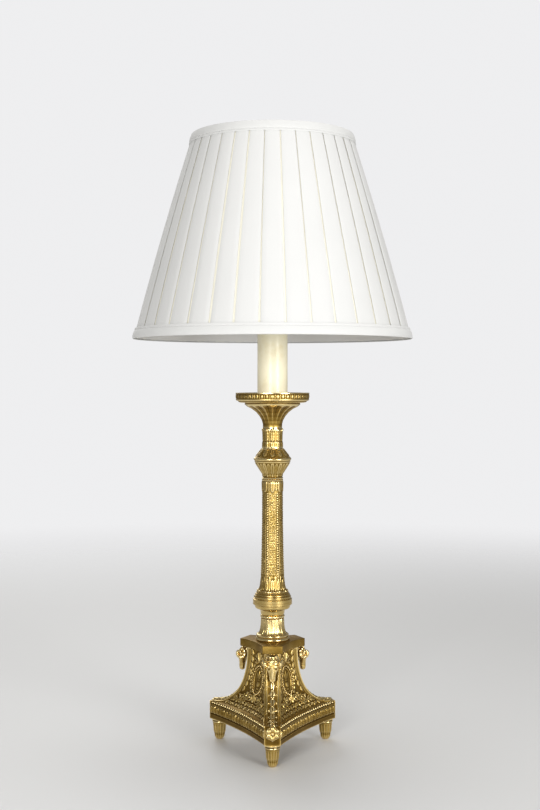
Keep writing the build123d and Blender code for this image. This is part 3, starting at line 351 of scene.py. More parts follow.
# gilding: brown and dull in the hollows, yellow on plain metal, rubbed bright on the crests
gilding, gilding_in, gilding_out = node_group(
    "worn_gilding",
    [("Proud", "NodeSocketFloat")],
    [("Color", "NodeSocketColor"), ("Roughness", "NodeSocketFloat"), ("Height", "NodeSocketFloat")],
)
cast_grain = noise_at(gilding, 700, 3)
tarnish = noise_at(gilding, 45, 4)
wear = sum_of(
    gilding,
    (gilding_in.outputs["Proud"], 1.0, -0.25),
    (cast_grain, 0.18, 0),
    (tarnish, 0.32, 0),
)
gilding.links.new(
    ramp_of(gilding, wear, [
        (0.08, (0.115, 0.064, 0.010)),
        (0.34, (0.26, 0.158, 0.030)),
        (0.54, (0.53, 0.365, 0.105)),
        (0.84, (0.90, 0.705, 0.335)),
    ]),
    gilding_out.inputs["Color"],
)
dullness = sum_of(gilding, (wear, -0.52, 0.66), (cast_grain, 0.10, 0))
gilding.links.new(dullness, gilding_out.inputs["Roughness"])
gilding.links.new(sum_of(gilding, (cast_grain, 1.0, 0), (tarnish, 1.0, 0)), gilding_out.inputs["Height"])


cast_grain_depth = 0.0006


def gilt_bronze(name, proud=None, grain=0.12, polish=0.0):
    """Gilt bronze. Its wear follows the mark of rub_up, or one even value on plain pieces."""
    material, tree, metal = new_material(name, {"Metallic": 1.0})
    finish = add_node(tree, "ShaderNodeGroup")
    finish.node_tree = gilding
    if proud is None:
        tree.links.new(mark_of(tree, "proud"), finish.inputs["Proud"])
    else:
        finish.inputs["Proud"].default_value = proud
    roughness = sum_of(tree, (finish.outputs["Roughness"], 1.0, -polish))
    join(
        tree,
        (finish.outputs["Color"], metal.inputs["Base Color"]),
        (roughness, metal.inputs["Roughness"]),
    )
    raise_grain(tree, metal, finish.outputs["Height"], grain, cast_grain_depth)
    return material


chased_gilt = gilt_bronze("chased_gilt")


# level_mark makes a whole piece's gilding lighter or darker: partly the tone of its gilding, partly painted
# light and shade for how brightly the piece shows under the lamps
def chased_piece(bm, name, node, depth, rounds=10, level_mark=0.5):
    """Finishes a gilt casting whose hollows are darkened and whose crests are rubbed bright."""
    rub_up(settle(bm, name, "root", chased_gilt, [node]), depth, rounds, level_mark)


def move_out(bm, angle, distance):
    """Moves a shape out from the axis, towards an angle."""
    bmesh.ops.translate(bm, vec=(distance * cos(angle), distance * sin(angle), 0), verts=bm.verts[:])


corner_angles = [radians(-90 + 120 * number) for number in range(3)]
foot_circle = 80.0
foot_height = 27.5
foot_flutes = 14
flute_low, flute_high = 1.2, 22.2
flute_half, flute_depth = 0.42, 0.55    # half width as a share of the pitch, and depth in millimetres
foot_members = [
    ("start", 1.5, 0),
    ("round", 6.6, 7.0),
    ("straight", 7.8, 3.6),
    ("straight", 8.8, 11.7),
    ("straight", 9.2, 0.3),
    ("bead", 9.2, 1.8),
    ("straight", 8.6, 0.2),
    ("hollow", 10.2, 1.4),
    ("straight", 10.2, foot_height - 26.0),
    ("straight", 3.0, 0),
    ("straight", 3.0, 12.0),
]


def foot_fluting(angle, height, radius):
    """Round-ended flutes from the toe up to the collar."""
    place = abs(across(angle, foot_flutes)) / flute_half
    return -flute_depth * sqrt(max(0, 1 - place * place)) * band(height, flute_low, flute_high, 4.0)


for number, angle in enumerate(corner_angles, 1):
    foot = turn_on_lathe(0, foot_members, foot_flutes * 10, 0.7, bore=0.02)
    chase(foot, foot_fluting, clear=3.5)
    move_out(foot, angle, foot_circle)
    chased_piece(foot, f"fluted_foot_{number}", f"foot_{number}", 0.8)

# ================================================================ base casting
# The tripod is one hollow bronze casting, lofted from its slab up to a narrow neck. Flat ribs stand
# on its corners. Each hollow face has a raised border, an oval medallion, a palmette at the top and
# leafy scrolls under the medallion, all cast in and then chased.
slab_bottom = foot_height
slab_top = 51.0
base_top = 128.0
slab_distance, slab_width, slab_hollow = 89.0, 19.7, 5.5
neck_distance, neck_width, neck_hollow = 30.0, 16.0, 4.0
sweep_power = 2.4
rib_half = 7.5
rib_proud = 3.0
rib_foot = 4.0            # length of the sweep over which a rib comes out of the slab
border_width = 4.6
casting_wall = 4.0
top_plate = 4.5
rod_hole = 5.2
slab_moulding = [
    (27.5, 1.6), (27.7, 0.6), (28.4, 0.1), (29.2, 0.0), (30.4, 0.0), (31.6, 0.0), (32.8, 0.0), (33.6, 0.0),
    (33.9, 0.6), (34.6, 0.8), (35.2, 0.8), (35.6, 0.7), (37.0, 0.6), (38.6, 0.35), (40.2, 0.3), (41.8, 0.35),
    (43.4, 0.6), (44.6, 0.8), (45.0, 0.9), (45.8, 0.6), (46.8, 0.6), (47.3, 0.9), (47.6, 2.4), (48.8, 2.5),
    (50.0, 2.5), (50.95, 2.4),
]
sweep_rows = 118
inner_rows = 12
rib_columns, wall_columns, shoulder_columns, side_columns = 8, 2, 3, 55
half_columns = rib_columns + wall_columns + shoulder_columns + side_columns
third_columns = half_columns * 2


def sweep_shape(fall):
    """Distance, width and hollow of the outline at a share of the way down from the neck."""
    reach = max(0, 1 - fall ** sweep_power) ** (1 / sweep_power)
    return (
        slab_distance - (slab_distance - neck_distance) * reach,
        slab_width - (slab_width - neck_width) * reach,
        slab_hollow - (slab_hollow - neck_hollow) * reach,
    )


def fall_at(height):
    """Share of the way down from the neck to the slab at a height."""
    return min(1, max(0, (base_top - height) / (base_top - slab_top)))


def third_point(shape, column, proud, inset, tuck=0.0):
    """Point of the outline for a column of one third, in the frame of that third's first corner. It
    gives the part of the outline too: r for rib, e for edge or s for side, and the place across it."""
    distance, width, hollow = shape
    mirrored = column > half_columns
    step = third_columns - column if mirrored else column
    side_middle = Vector((cos(pi / 3), sin(pi / 3)))
    if step <= rib_columns:
        across_rib = rib_half * step / rib_columns
        x, y = distance + proud, across_rib
        part = ("r", -across_rib if mirrored else across_rib, 0)
    elif step <= rib_columns + wall_columns:
        x, y = distance + proud * (1 - (step - rib_columns) / wall_columns), rib_half
        part = ("e", 0, 0)
    elif step <= rib_columns + wall_columns + shoulder_columns:
        share = (step - rib_columns - wall_columns) / shoulder_columns
        x, y = distance, rib_half + (width / 2 - rib_half) * share
        part = ("e", 0, 0)
    else:
        share = (step - half_columns + side_columns) / side_columns / 2
        start = Vector((distance, width / 2))
        chord_half = start.dot(Vector((sin(pi / 3), -cos(pi / 3))))
        along = Vector((-sin(pi / 3), cos(pi / 3)))
        from_edge = 2 * chord_half * share
        soft = min(1, from_edge / 1.5)
        point = start + along * from_edge - side_middle * (hollow * 4 * share * (1 - share) + tuck * soft)
        x, y = point
        part = ("s", (from_edge - chord_half) * (-1 if mirrored else 1), chord_half)
    point = Vector((x, y))
    if inset:
        middle_distance = distance / 2 + width * sqrt(3) / 4 - hollow
        point *= 1 - inset / (middle_distance if part[0] == "s" and part[2] else distance)
    if mirrored:
        point.y = -point.y
        point.rotate(Matrix.Rotation(tau / 3, 2))
    return point, part


def moved_grid(columns, rows, place, closed=True, marked=True):
    """Grid whose corner (column, row) is moved to place(column, row). Seams are merged. A marked grid's
    place gives the facts that its relief needs too, and they come back as a layer of its points."""
    bm = bmesh.new()
    bmesh.ops.create_grid(bm, x_segments=columns, y_segments=rows, size=0.5)
    facts = bm.verts.layers.float_vector.new("facts") if marked else None
    for vertex in bm.verts:
        column = round((vertex.co.x + 0.5) * columns)
        row = round((vertex.co.y + 0.5) * rows)
        if marked:
            vertex.co, vertex[facts] = place(column, row)
        else:
            vertex.co = place(column, row)
    if closed:
        bmesh.ops.remove_doubles(bm, verts=bm.verts[:], dist=0.003)
    bmesh.ops.recalc_face_normals(bm, faces=bm.faces[:])
    bm.normal_update()
    return (bm, facts) if marked else bm


# heights of the sweep's rows, evenly spaced along the curve of its corner
fine = np.linspace(1, 0, 4001)
fine_distance = np.array([sweep_shape(fall)[0] for fall in fine])
fine_height = base_top - (base_top - slab_top) * fine
run = np.concatenate([[0], np.cumsum(np.hypot(np.diff(fine_distance), np.diff(fine_height)))])
sweep_length = run[-1]
row_run = np.linspace(0, sweep_length, sweep_rows + 1)
row_height = np.interp(row_run, run, fine_height)


def run_at(height):
    """Length along the sweep from the slab up to a height."""
    return float(np.interp(height, fine_height, run))


def height_at(length):
    """Height of the sweep at a length up from the slab."""
    return float(np.interp(length, run, fine_height))


casting_rows = [("slab", height, inset) for height, inset in slab_moulding]
casting_rows += [("sweep", height, length) for height, length in zip(row_height, row_run)]
casting_rows += [("hole", base_top, 0), ("hole", base_top - top_plate, 0)]
casting_rows += [
    ("inside", base_top - top_plate - (base_top - top_plate - slab_bottom) * (step / inner_rows) ** 0.8, 0)
    for step in range(inner_rows + 1)
]
casting_rows.append(casting_rows[0])


def casting_point(column, row):
    """Point of the casting, with what its relief needs: place across, run up the sweep, half side. On
    the slab, which has no relief, the run is the height with a minus."""
    kind, height, value = casting_rows[row]
    third, column = divmod(column, third_columns)
    shape = sweep_shape(fall_at(height))
    facts = Vector((0, 0, 0))
    if kind == "hole":
        turn = tau / 3 * column / third_columns
        point = Vector((rod_hole * cos(turn), rod_hole * sin(turn)))
    elif kind == "slab":
        point, part = third_point(shape, column, 0, 0, value)
        facts = Vector((0, -height, 0))
    elif kind == "sweep":
        proud = rib_proud * min(1, value / rib_foot)
        point, part = third_point(shape, column, proud, 0, 2.4 * max(0, 1 - value / 3))
        if part[0] != "e":
            facts = Vector((part[1], value + 0.001, part[2]))
    else:
        point, part = third_point(shape, column, 0, casting_wall)
    point.rotate(Matrix.Rotation(tau / 3 * third - pi / 2, 2))
    return Vector((point.x, point.y, height)), facts


def bump(x, y, wide, tall):
    """Rounded boss, 1 at its middle and 0 at its elliptical edge."""
    return max(0.0, 1 - (x / wide) ** 2 - (y / tall) ** 2) ** 0.5


def leaf(x, y, wide, tall, lobes=3):
    """Acanthus leaf that grows up from y = 0 to y = tall, with lobes along each edge and a vein."""
    share = y / tall
    if not 0 < share < 1:
        return 0.0
    edge = wide * (share ** 0.5) * (1 - share) ** 0.6 * 1.6
    edge *= 0.78 + 0.22 * abs(cos(pi * lobes * share))
    if abs(x) >= edge:
        return 0.0
    vein = 1 - 0.35 * exp(-((x / 0.5) ** 2))
    return (1 - (x / edge) ** 2) ** 0.5 * vein


def scroll(x, y, size, turns=1.6):
    """Ridge of a spiral that winds in to its eye."""
    distance = hypot(x, y)
    if distance > size:
        return 0.0
    angle = atan2(y, x)
    phase = (distance / size * turns * 2 - angle / pi) / 2 % 1
    ridge = max(0.0, 1 - (abs(phase - 0.5) / 0.30) ** 2)
    return max(ridge ** 0.7 * min(1, (size - distance) / 1.2), bump(x, y, size * 0.22, size * 0.22))


medallion_run = run_at(88.0)
medallion_wide, medallion_tall = 11.6, 18.2
palmette_run = run_at(110.5)
scroll_run = medallion_run - 25.5
# leaves between the scrolls: place across, drop below the scrolls' line and size
scroll_leaves = ((17.0, 9.0, 1.0), (30.0, 14.0, 0.95), (41.5, 18.0, 0.8), (52.5, 20.5, 0.7))


def face_relief(across_side, length, half_side):
    """Height of the chasing on a face of the tripod, in millimetres."""
    from_edge = half_side - abs(across_side)
    border = band(from_edge, 0.3, 4.4, 0.9) * 1.1 * min(1, length / 6)
    if from_edge < border_width:
        return border
    x, y = abs(across_side), length - medallion_run
    oval = hypot(across_side / medallion_wide, y / medallion_tall)
    if oval < 1.0:
        rim = 0.9 * max(0, 1 - ((oval - 0.86) / 0.07) ** 2)
        vase = 1.5 * bump(across_side, y + 5.0, 3.4, 4.6)
        foot = 1.1 * bump(across_side, y + 11.0, 2.6, 1.6)
        lip = 1.2 * bump(across_side, y - 0.4, 3.0, 1.1)
        sprays = max(
            leaf(across_side, y - 1.0, 2.2, 11.5),
            leaf(across_side * 0.8 - y * 0.45 + 0.6, y * 0.8 + across_side * 0.45 - 1.0, 2.0, 9.0),
            leaf(-across_side * 0.8 - y * 0.45 + 0.6, y * 0.8 - across_side * 0.45 - 1.0, 2.0, 9.0),
        )
        return max(rim, vase, foot, lip, 1.3 * sprays, 0.0) - 0.7
    relief = -0.25
    # palmette of seven leaves at the top of the face
    up, out = length - palmette_run, across_side
    reach, lean = hypot(up, out), atan2(out, up)
    if reach < 15 and abs(lean) < 2.0:
        frond = abs((lean / 0.42 + 0.5) % 1 - 0.5)
        ridge = 1.5 * max(0, 1 - (frond / 0.42) ** 2)
        relief = max(relief, ridge * band(reach, 1.5, 14 - 1.6 * abs(lean), 1.4))
    # leaves that frame the medallion
    if length > scroll_run + 6 and oval < 1.75:
        around = (atan2(y, across_side) / tau * 22) % 1 - 0.5
        relief = max(relief, 1.15 * (1 - (2 * around) ** 2) * band(oval, 1.22, 1.52, 0.12))
    # a run of scrolls under the medallion, out to both corners, with leaves between them
    low = length - scroll_run
    relief = max(
        relief,
        1.9 * scroll(x - 10.0, low + 0.5, 8.2),
        1.8 * scroll(-(x - 24.0), low + 4.0, 7.0),
        1.6 * scroll(x - 36.5, low + 9.0, 6.0),
        1.4 * scroll(-(x - 47.0), low + 13.0, 5.0),
        1.9 * leaf(across_side, low + 8.0, 4.2, 15.0),
    )
    for spot, drop, size in scroll_leaves:
        relief = max(
            relief,
            1.6 * leaf((x - spot) * 0.8 + (low + drop) * 0.5, low + drop + 1.0, 3.6 * size, 12.5 * size),
            1.4 * leaf((x - spot) * 0.9 - (low + drop) * 0.5, low + drop, 3.2 * size, 11.0 * size),
            1.5 * bump(x - spot, low + drop - 13.5 * size, 2.2 * size, 2.2 * size),
        )
    # two more rows of small scrolls and leaves, down to the plain edge of the slab
    for shift, middle in ((0.0, 30.5), (0.5, 19.5)):
        cell = x / 10.5 + shift
        spot = (cell % 1 - 0.5) * 10.5
        turned = spot if floor(cell) % 2 else -spot
        relief = max(
            relief,
            1.5 * scroll(turned, length - middle, 5.2, 1.0),
            1.4 * leaf(abs(spot) - 5.2, length - middle + 5.0, 2.6, 9.5, 2),
        )
    # leaves that climb beside the medallion
    if length > scroll_run + 4 and x > 12:
        climb = (length / 8.5 + 0.2) % 1 * 8.5
        relief = max(relief, 1.3 * leaf((from_edge - 7.5) * 0.9 + climb * 0.25, climb, 3.0, 8.4))
    return relief


casting, facts = moved_grid(third_columns * 3, len(casting_rows) - 1, casting_point)
# painted shade: this mark makes the gilding darker and duller. The faces get a little of it, less on their
# relief, the ribs more, and the slab's sides most of all behind its beads
painted_shade = casting.verts.layers.float.new("painted_shade")
for vertex in casting.verts:
    across_face, length, half_side = vertex[facts]
    if half_side:
        lift = face_relief(across_face, length, half_side)
        vertex.co += vertex.normal * lift
        in_border = half_side - abs(across_face) <= border_width
        vertex[painted_shade] = 0.08 if in_border else 0.12 * (1 - band(lift, 0.1, 9, 0.5))
    elif length > 0:
        # painted shadow: the ribs are darker, and much darker from 92 mm up, behind and under the ram's
        # heads
        rib_shade = 0.26 + 0.60 * band(vertex.co.z, 92.0, 129.0, 5.0)
        vertex[painted_shade] = rib_shade * band(abs(across_face), -9, 6.9, 0.5) * min(1, length / rib_foot)
    # painted shade on the slab's sides, darkest behind the row of beads
    elif length < 0:
        vertex[painted_shade] = 0.7 if -length > 47.2 else 0.34
casting.verts.layers.float_vector.remove(facts)

# the cord's hole through the middle of the back wall, behind its bushing
inlet_height, inlet_half, inlet_clear = 39.0, 3.0, 6.7
back_wall = 40.0          # the back wall lies further from the axis than this


def cut_away(bm, is_waste):
    """Removes the faces whose middle is waste."""
    waste = [face for face in bm.faces if is_waste(face.calc_center_median())]
    bmesh.ops.delete(bm, geom=waste, context="FACES")


def in_inlet(place):
    """True in the hole of the cord."""
    return place.y > back_wall and abs(place.x) < inlet_half and abs(place.z - inlet_height) < inlet_half


def near_inlet(place):
    """True in the hole of the cord and under the flange of its bushing."""
    return place.y > back_wall and hypot(place.x, place.z - inlet_height) < inlet_clear


for middle, normal in (
    ((inlet_half, 0, 0), (1, 0, 0)),
    ((-inlet_half, 0, 0), (1, 0, 0)),
    ((0, 0, inlet_height - inlet_half), (0, 0, 1)),
    ((0, 0, inlet_height + inlet_half), (0, 0, 1)),
):
    wall = []
    for face in casting.faces:
        place = face.calc_center_median()
        if place.y > back_wall and slab_bottom - 0.5 < place.z < slab_top + 1:
            wall.append(face)
    edges = list({edge for face in wall for edge in face.edges})
    bmesh.ops.bisect_plane(casting, geom=wall + edges, plane_co=middle, plane_no=normal)
cut_away(casting, in_inlet)
chased_piece(casting, "tripod_casting", "base_casting", 1.7, 14)


def side_frame(number, height, across_side, out=0.0):
    """Point on a side of the casting, in millimetres, and the direction that it faces."""
    distance, width, hollow = sweep_shape(fall_at(height))
    chord_half = distance * sqrt(3) / 2 - width / 4
    middle = distance / 2 + width * sqrt(3) / 4
    share = across_side / chord_half
    facing = radians(-30 + 120 * number)
    outwards = Vector((cos(facing), sin(facing), 0))
    sideways = Vector((-sin(facing), cos(facing), 0))
    point = outwards * (middle - hollow * (1 - share * share) + out) + sideways * across_side
    return point + Vector((0, 0, height)), outwards


def add_bead(bm, place, radius):
    """Small ball with a few dozen faces."""
    ball = bmesh.ops.create_icosphere(bm, subdivisions=2, radius=radius)
    bmesh.ops.translate(bm, vec=place, verts=ball["verts"])


# bead row along the slab's upper edge
burnished_beads = gilt_bronze("burnished_beads", 0.92)
slab_beads = bmesh.new()
slab_chord_half = slab_distance * sqrt(3) / 2 - slab_width / 4
slab_bead_radius, slab_bead_height = 1.75, 49.3
bead_pitch = 4.85
bead_count = int(slab_chord_half * 2 / bead_pitch)
for number in range(3):
    for step in range(bead_count):
        across_side = (step - (bead_count - 1) / 2) * bead_pitch
        place = side_frame(number, slab_top, across_side, -slab_bead_radius)[0]
        place.z = slab_bead_height
        add_bead(slab_beads, place, slab_bead_radius)
settle(slab_beads, "slab_beads", "root", burnished_beads, ["base_casting"])

# beads round the medallions
medallion_beads = bmesh.new()
medallion_bead_count, medallion_bead_radius = 46, 0.95
for number in range(3):
    for step in range(medallion_bead_count):
        angle = tau * step / medallion_bead_count
        across_side = medallion_wide * 1.06 * cos(angle)
        length = medallion_run + medallion_tall * 1.04 * sin(angle)
        place = side_frame(number, height_at(length), across_side, 0.25)[0]
        add_bead(medallion_beads, place, medallion_bead_radius)
settle(medallion_beads, "medallion_beads", "root", burnished_beads, ["base_casting"])

# bosses inside the corners, bored for the studs of the feet
raw_casting = gilt_bronze("raw_casting", 0.2)
boss_radius, boss_height, stud_hole = 8.5, 20.4, 3.1
boss_members = [("start", boss_radius, 0), ("straight", boss_radius, boss_height)]
for number, angle in enumerate(corner_angles, 1):
    boss = turn_on_lathe(slab_bottom + 0.1, boss_members, 48, 4.0, bore=stud_hole)
    move_out(boss, angle, foot_circle)
    settle(boss, f"foot_boss_{number}", "root", raw_casting, ["base_casting"])

# garlands of husks down the three ribs, cast apart and pinned on
garland_half, garland_thick = 6.6, 1.0
garland_end, garland_start = 2.5, run_at(93.5)
garland_columns, garland_rows = 22, 150
husk_pitch = 10.5
husk_widths = (4.4, 5.6, 5.0, 6.0)


def garland_relief(across_rib, length):
    """Height of the husks, flowers and berries down a rib."""
    place = (garland_start - length) / husk_pitch
    number = floor(place)
    down = (place - number) * husk_pitch
    husk = leaf(across_rib, husk_pitch - down + 0.6, husk_widths[number % 4], husk_pitch + 1.4, 2)
    wings = leaf(abs(across_rib) - 2.6 + down * 0.12, husk_pitch - down - 1.0, 2.4, husk_pitch - 3.0, 2)
    berry = bump(across_rib, down - 1.2, 1.7, 1.7)
    beads = bump(abs(across_rib) - 4.9, down - 6.6, 1.0, 1.2)
    return max(2.3 * husk, 1.5 * wings, 2.7 * berry, 1.3 * beads)


def garland_point(angle, column, row):
    """Point on the front of the rib at an angle, with its place across the rib and along it."""
    across_rib = garland_half * (2 * column / garland_columns - 1)
    length = garland_end + (garland_start - garland_end) * row / garland_rows
    height = height_at(length)
    distance = sweep_shape(fall_at(height))[0] + rib_proud * min(1, length / rib_foot) - 0.1
    point = Vector((distance, across_rib, height))
    point.rotate(Matrix.Rotation(angle, 3, "Z"))
    return point, Vector((across_rib, length, 0))


def face_outwards(bm, outwards):
    """Turns the faces of an open sheet round if they look inwards."""
    if sum(face.normal.dot(outwards) for face in bm.faces) < 0:
        bmesh.ops.reverse_faces(bm, faces=bm.faces[:])
        bm.normal_update()


for number, angle in enumerate(corner_angles, 1):
    garland, facts = moved_grid(
        garland_columns, garland_rows, lambda column, row: garland_point(angle, column, row), closed=False
    )
    face_outwards(garland, Vector((cos(angle), sin(angle), 0.6)))
    lifts = []
    for vertex in garland.verts:
        across_rib, length = vertex[facts].xy
        side = min(1, (garland_half - abs(across_rib)) / 0.9)
        lifts.append(garland_relief(across_rib, length) * side)
    bare = [face for face in garland.faces if max(lifts[v.index] for v in face.verts) < 0.12]
    lift_points(garland, lifts)
    garland.verts.layers.float_vector.remove(facts)
    bmesh.ops.delete(garland, geom=bare, context="FACES")
    bmesh.ops.solidify(garland, geom=garland.faces[:], thickness=garland_thick)
    chased_piece(garland, f"husk_garland_{number}", "base_casting", 0.8, 10, 0.58)

# rosettes on the corner blocks
rosette_height, rosette_radius = 42.3, 9.1
rosette_scallop, scallop_start = 0.14, 6.5
rosette_members = [
    ("start", rosette_radius, 0),
    ("round", rosette_radius - 0.3, 0.8),
    ("straight", 0.3, 0.0),
]


def petals(turn, height, radius):
    """Six round petals, six small ones between them and a button."""
    if height < 0.7:
        return 0
    place = (turn * 6 / tau + 0.5) % 1 - 0.5
    between = (turn * 6 / tau) % 1 - 0.5
    return max(
        2.0 * bump(radius - 5.7, place * radius * tau / 6, 3.4, 3.4),
        1.5 * bump(radius - 4.4, between * radius * tau / 6, 2.6, 1.3),
        2.6 * bump(radius, 0, 2.5, 2.5),
    )


def turn_shape(bm, angle, axis="Z"):
    """Turns a shape round an axis through the origin."""
    bmesh.ops.rotate(bm, cent=(0, 0, 0), matrix=Matrix.Rotation(angle, 3, axis), verts=bm.verts[:])


for number, angle in enumerate(corner_angles, 1):
    rosette = turn_on_lathe(0, rosette_members, 96, 0.4, bore=0.02)
    chase(rosette, petals, clear=0.0)
    for vertex in rosette.verts:
        if hypot(vertex.co.x, vertex.co.y) > scallop_start:
            petal_end = abs(cos(atan2(vertex.co.y, vertex.co.x) * 3))
            vertex.co.xy *= 1 - rosette_scallop * (1 - petal_end)
    turn_shape(rosette, pi / 2, "Y")
    bmesh.ops.translate(rosette, vec=(slab_distance - 0.2, 0, rosette_height), verts=rosette.verts[:])
    turn_shape(rosette, angle)
    chased_piece(rosette, f"rosette_{number}", "base_casting", 1.3, 8, 0.64)

# leaf band let into each side of the slab
leaf_band_low, leaf_band_high = 35.9, 44.8
leaf_band_tall = leaf_band_high - leaf_band_low
leaf_pitch = 7.2
band_columns, band_rows = 210, 14
band_thick, band_painted_shade = 0.8, 0.22


def band_point(number, column, row):
    """Point of the band on a side, with its place across the side and up the band."""
    across_side = (slab_chord_half - 1.6) * (2 * column / band_columns - 1)
    up = leaf_band_tall * row / band_rows
    place = side_frame(number, slab_top, across_side, -0.75 + 0.5 * sin(pi * row / band_rows))[0]
    place.z = leaf_band_low + up
    return place, Vector((across_side, up, 0))


for number in range(3):
    strip, facts = moved_grid(
        band_columns, band_rows, lambda column, row: band_point(number, column, row), closed=False
    )
    painted_shade = strip.verts.layers.float.new("painted_shade")
    face_outwards(strip, side_frame(number, slab_top, 0)[1])
    lifts = []
    for vertex in strip.verts:
        across_side, up = vertex[facts].xy
        share = (across_side / leaf_pitch) % 1 - 0.5
        upright = leaf(share * leaf_pitch, leaf_band_tall - up, 2.9, leaf_band_tall * 1.05, 3)
        dart = leaf((abs(share) - 0.5) * leaf_pitch, up, 1.5, leaf_band_tall * 0.9, 1)
        lifts.append(1.25 * max(upright, 0.8 * dart))
        # painted shade: the leaf band is darkened like the slab's sides round it
        vertex[painted_shade] = band_painted_shade
    lift_points(strip, lifts)
    strip.verts.layers.float_vector.remove(facts)
    cut_away(strip, near_inlet)
    bmesh.ops.solidify(strip, geom=strip.faces[:], thickness=band_thick)
    chased_piece(strip, f"leaf_band_{number + 1}", "base_casting", 0.7, 8, 0.36)

# ================================================================ ram's heads
# Three cast ram's heads hang on the necks of the ribs, each held by a screw from inside the casting.
# The skull, the wool between the horns and the two ribbed horns are one casting.
ram_rows = [  # height, half width, front and back distance from the axis
    (94.9, 1.8, 46.6, 43.6),
    (95.8, 3.3, 48.2, 42.2),
    (98.5, 3.9, 48.8, 41.6),
    (101.5, 4.0, 48.6, 41.2),
    (105.0, 4.8, 48.5, 40.6),
    (108.0, 6.1, 48.6, 39.8),
    (111.0, 7.6, 48.8, 37.8),
    (114.0, 8.3, 48.8, 35.6),
    (117.0, 8.0, 48.3, 34.0),
    (120.0, 7.3, 47.6, 33.0),
    (122.5, 6.2, 46.4, 32.4),
    (124.4, 3.6, 44.6, 33.0),
    (125.2, 1.4, 42.0, 36.0),
]
ram_heights = [row[0] for row in ram_rows]
skull_columns, skull_steps = 40, 46
ear_size, ear_tilt = (1.1, 2.7, 1.5), 0.35
ear_distance, ear_out, ear_height = 46.0, 8.6, 114.6


def ram_size(height, column):
    """Half width (column 1), front (2) or back (3) of the head at a height."""
    return float(np.interp(height, ram_heights, [row[column] for row in ram_rows]))


def skull_point(column, row):
    """Point of the skull, upright, with the face towards +X. Its relief needs the same point."""
    height = ram_heights[0] + (ram_heights[-1] - ram_heights[0]) * (0.5 - 0.5 * cos(pi * row / skull_steps))
    half, front, back = ram_size(height, 1), ram_size(height, 2), ram_size(height, 3)
    angle = tau * column / skull_columns
    reach = (front - back) / 2
    ahead = cos(angle)
    x = (front + back) / 2 + reach * abs(ahead) ** 0.85 * (1 if ahead > 0 else -1)
    y = half * abs(sin(angle)) ** 0.8 * (1 if sin(angle) > 0 else -1)
    return Vector((x, y, height)), Vector((x, y, height))


def skull_relief(x, y, height, front):
    """Brow, eyes, nose and wool of the skull."""
    lift = 0.0
    if x > front - 6:
        lift += 0.9 * bump(y, height - 105, 1.5, 9.0)
        lift += 1.3 * bump(abs(y) - 4.3, height - 113.8, 2.2, 2.0)
        lift -= 1.0 * bump(abs(y) - 5.0, height - 110.6, 1.6, 1.3)
        lift += 0.5 * bump(abs(y) - 5.0, height - 110.6, 0.8, 0.7)
        lift -= 0.9 * bump(abs(y) - 1.7, height - 98.4, 0.8, 1.0)
        lift -= 0.6 * bump(y, height - 96.6, 2.8, 0.5)
    if height > 116.5:
        curls = noise.noise(Vector((y * 0.55, height * 0.55, x * 0.55)) + Vector((7.3, 2.1, 4.4)))
        lift += (2.6 * abs(curls) - 0.2) * min(1, (height - 116.5) / 2)
    return lift


horn_steps, horn_sides = 60, 12
horn_turns = 1.35
horn_middle, horn_height = 42.6, 117.4


def horn_point(side, column, row):
    """Point of a horn that leaves the crown, winds back, down and forward round the ear."""
    share = row / horn_steps
    angle = pi * 0.62 + horn_turns * tau * share
    swing = 6.0 * (1 - 0.62 * share)
    middle = Vector((
        horn_middle + swing * cos(angle),
        side * (5.4 + 7.4 * share ** 0.8),
        horn_height + swing * sin(angle),
    ))
    thick = 2.8 * (1 - 0.70 * share ** 1.3) * (1 + 0.10 * cos(tau * share * 17))
    thick *= min(1, (1 - share) * 9 + 0.02)
    round_tube = tau * column / horn_sides
    radial = Vector((cos(angle), 0, sin(angle)))
    return middle + (radial * cos(round_tube) + Vector((0, side, 0)) * sin(round_tube)) * thick


def close_ends(bm):
    """Closes the open ends of a tube."""
    bmesh.ops.holes_fill(bm, edges=[edge for edge in bm.edges if edge.is_boundary], sides=0)


for number, angle in enumerate(corner_angles, 1):
    head, facts = moved_grid(skull_columns, skull_steps, skull_point)
    fronts = [ram_size(vertex.co.z, 2) for vertex in head.verts]
    lift_points(head, [skull_relief(*vertex[facts], front) for vertex, front in zip(head.verts, fronts)])
    close_ends(head)
    head.verts.layers.float_vector.remove(facts)
    for side in (-1, 1):
        horn = moved_grid(
            horn_sides, horn_steps, lambda column, row: horn_point(side, column, row), marked=False
        )
        close_ends(horn)
        horn_mesh = bpy.data.meshes.new("horn")
        horn.to_mesh(horn_mesh)
        horn.free()
        head.from_mesh(horn_mesh)
        bpy.data.meshes.remove(horn_mesh)
        ear = bmesh.ops.create_uvsphere(head, u_segments=14, v_segments=9, radius=1)
        tilt = Matrix.Rotation(side * ear_tilt, 3, "X")
        bmesh.ops.scale(head, vec=ear_size, verts=ear["verts"])
        bmesh.ops.rotate(head, cent=(0, 0, 0), matrix=tilt, verts=ear["verts"])
        bmesh.ops.translate(head, vec=(ear_distance, side * ear_out, ear_height), verts=ear["verts"])
    turn_shape(head, angle)
    chased_piece(head, f"rams_head_{number}", f"ram_head_{number}", 0.9, 8, 0.62)

# ================================================================ abacus
# A plain cast plate with three cut corners and hollow sides, filed flat. It lies on the casting and
# carries the column.
abacus_bottom, abacus_top = 128.0, 138.0
abacus_distance, abacus_width, abacus_hollow = 40.9, 25.2, 5.0
abacus_side_steps = 16

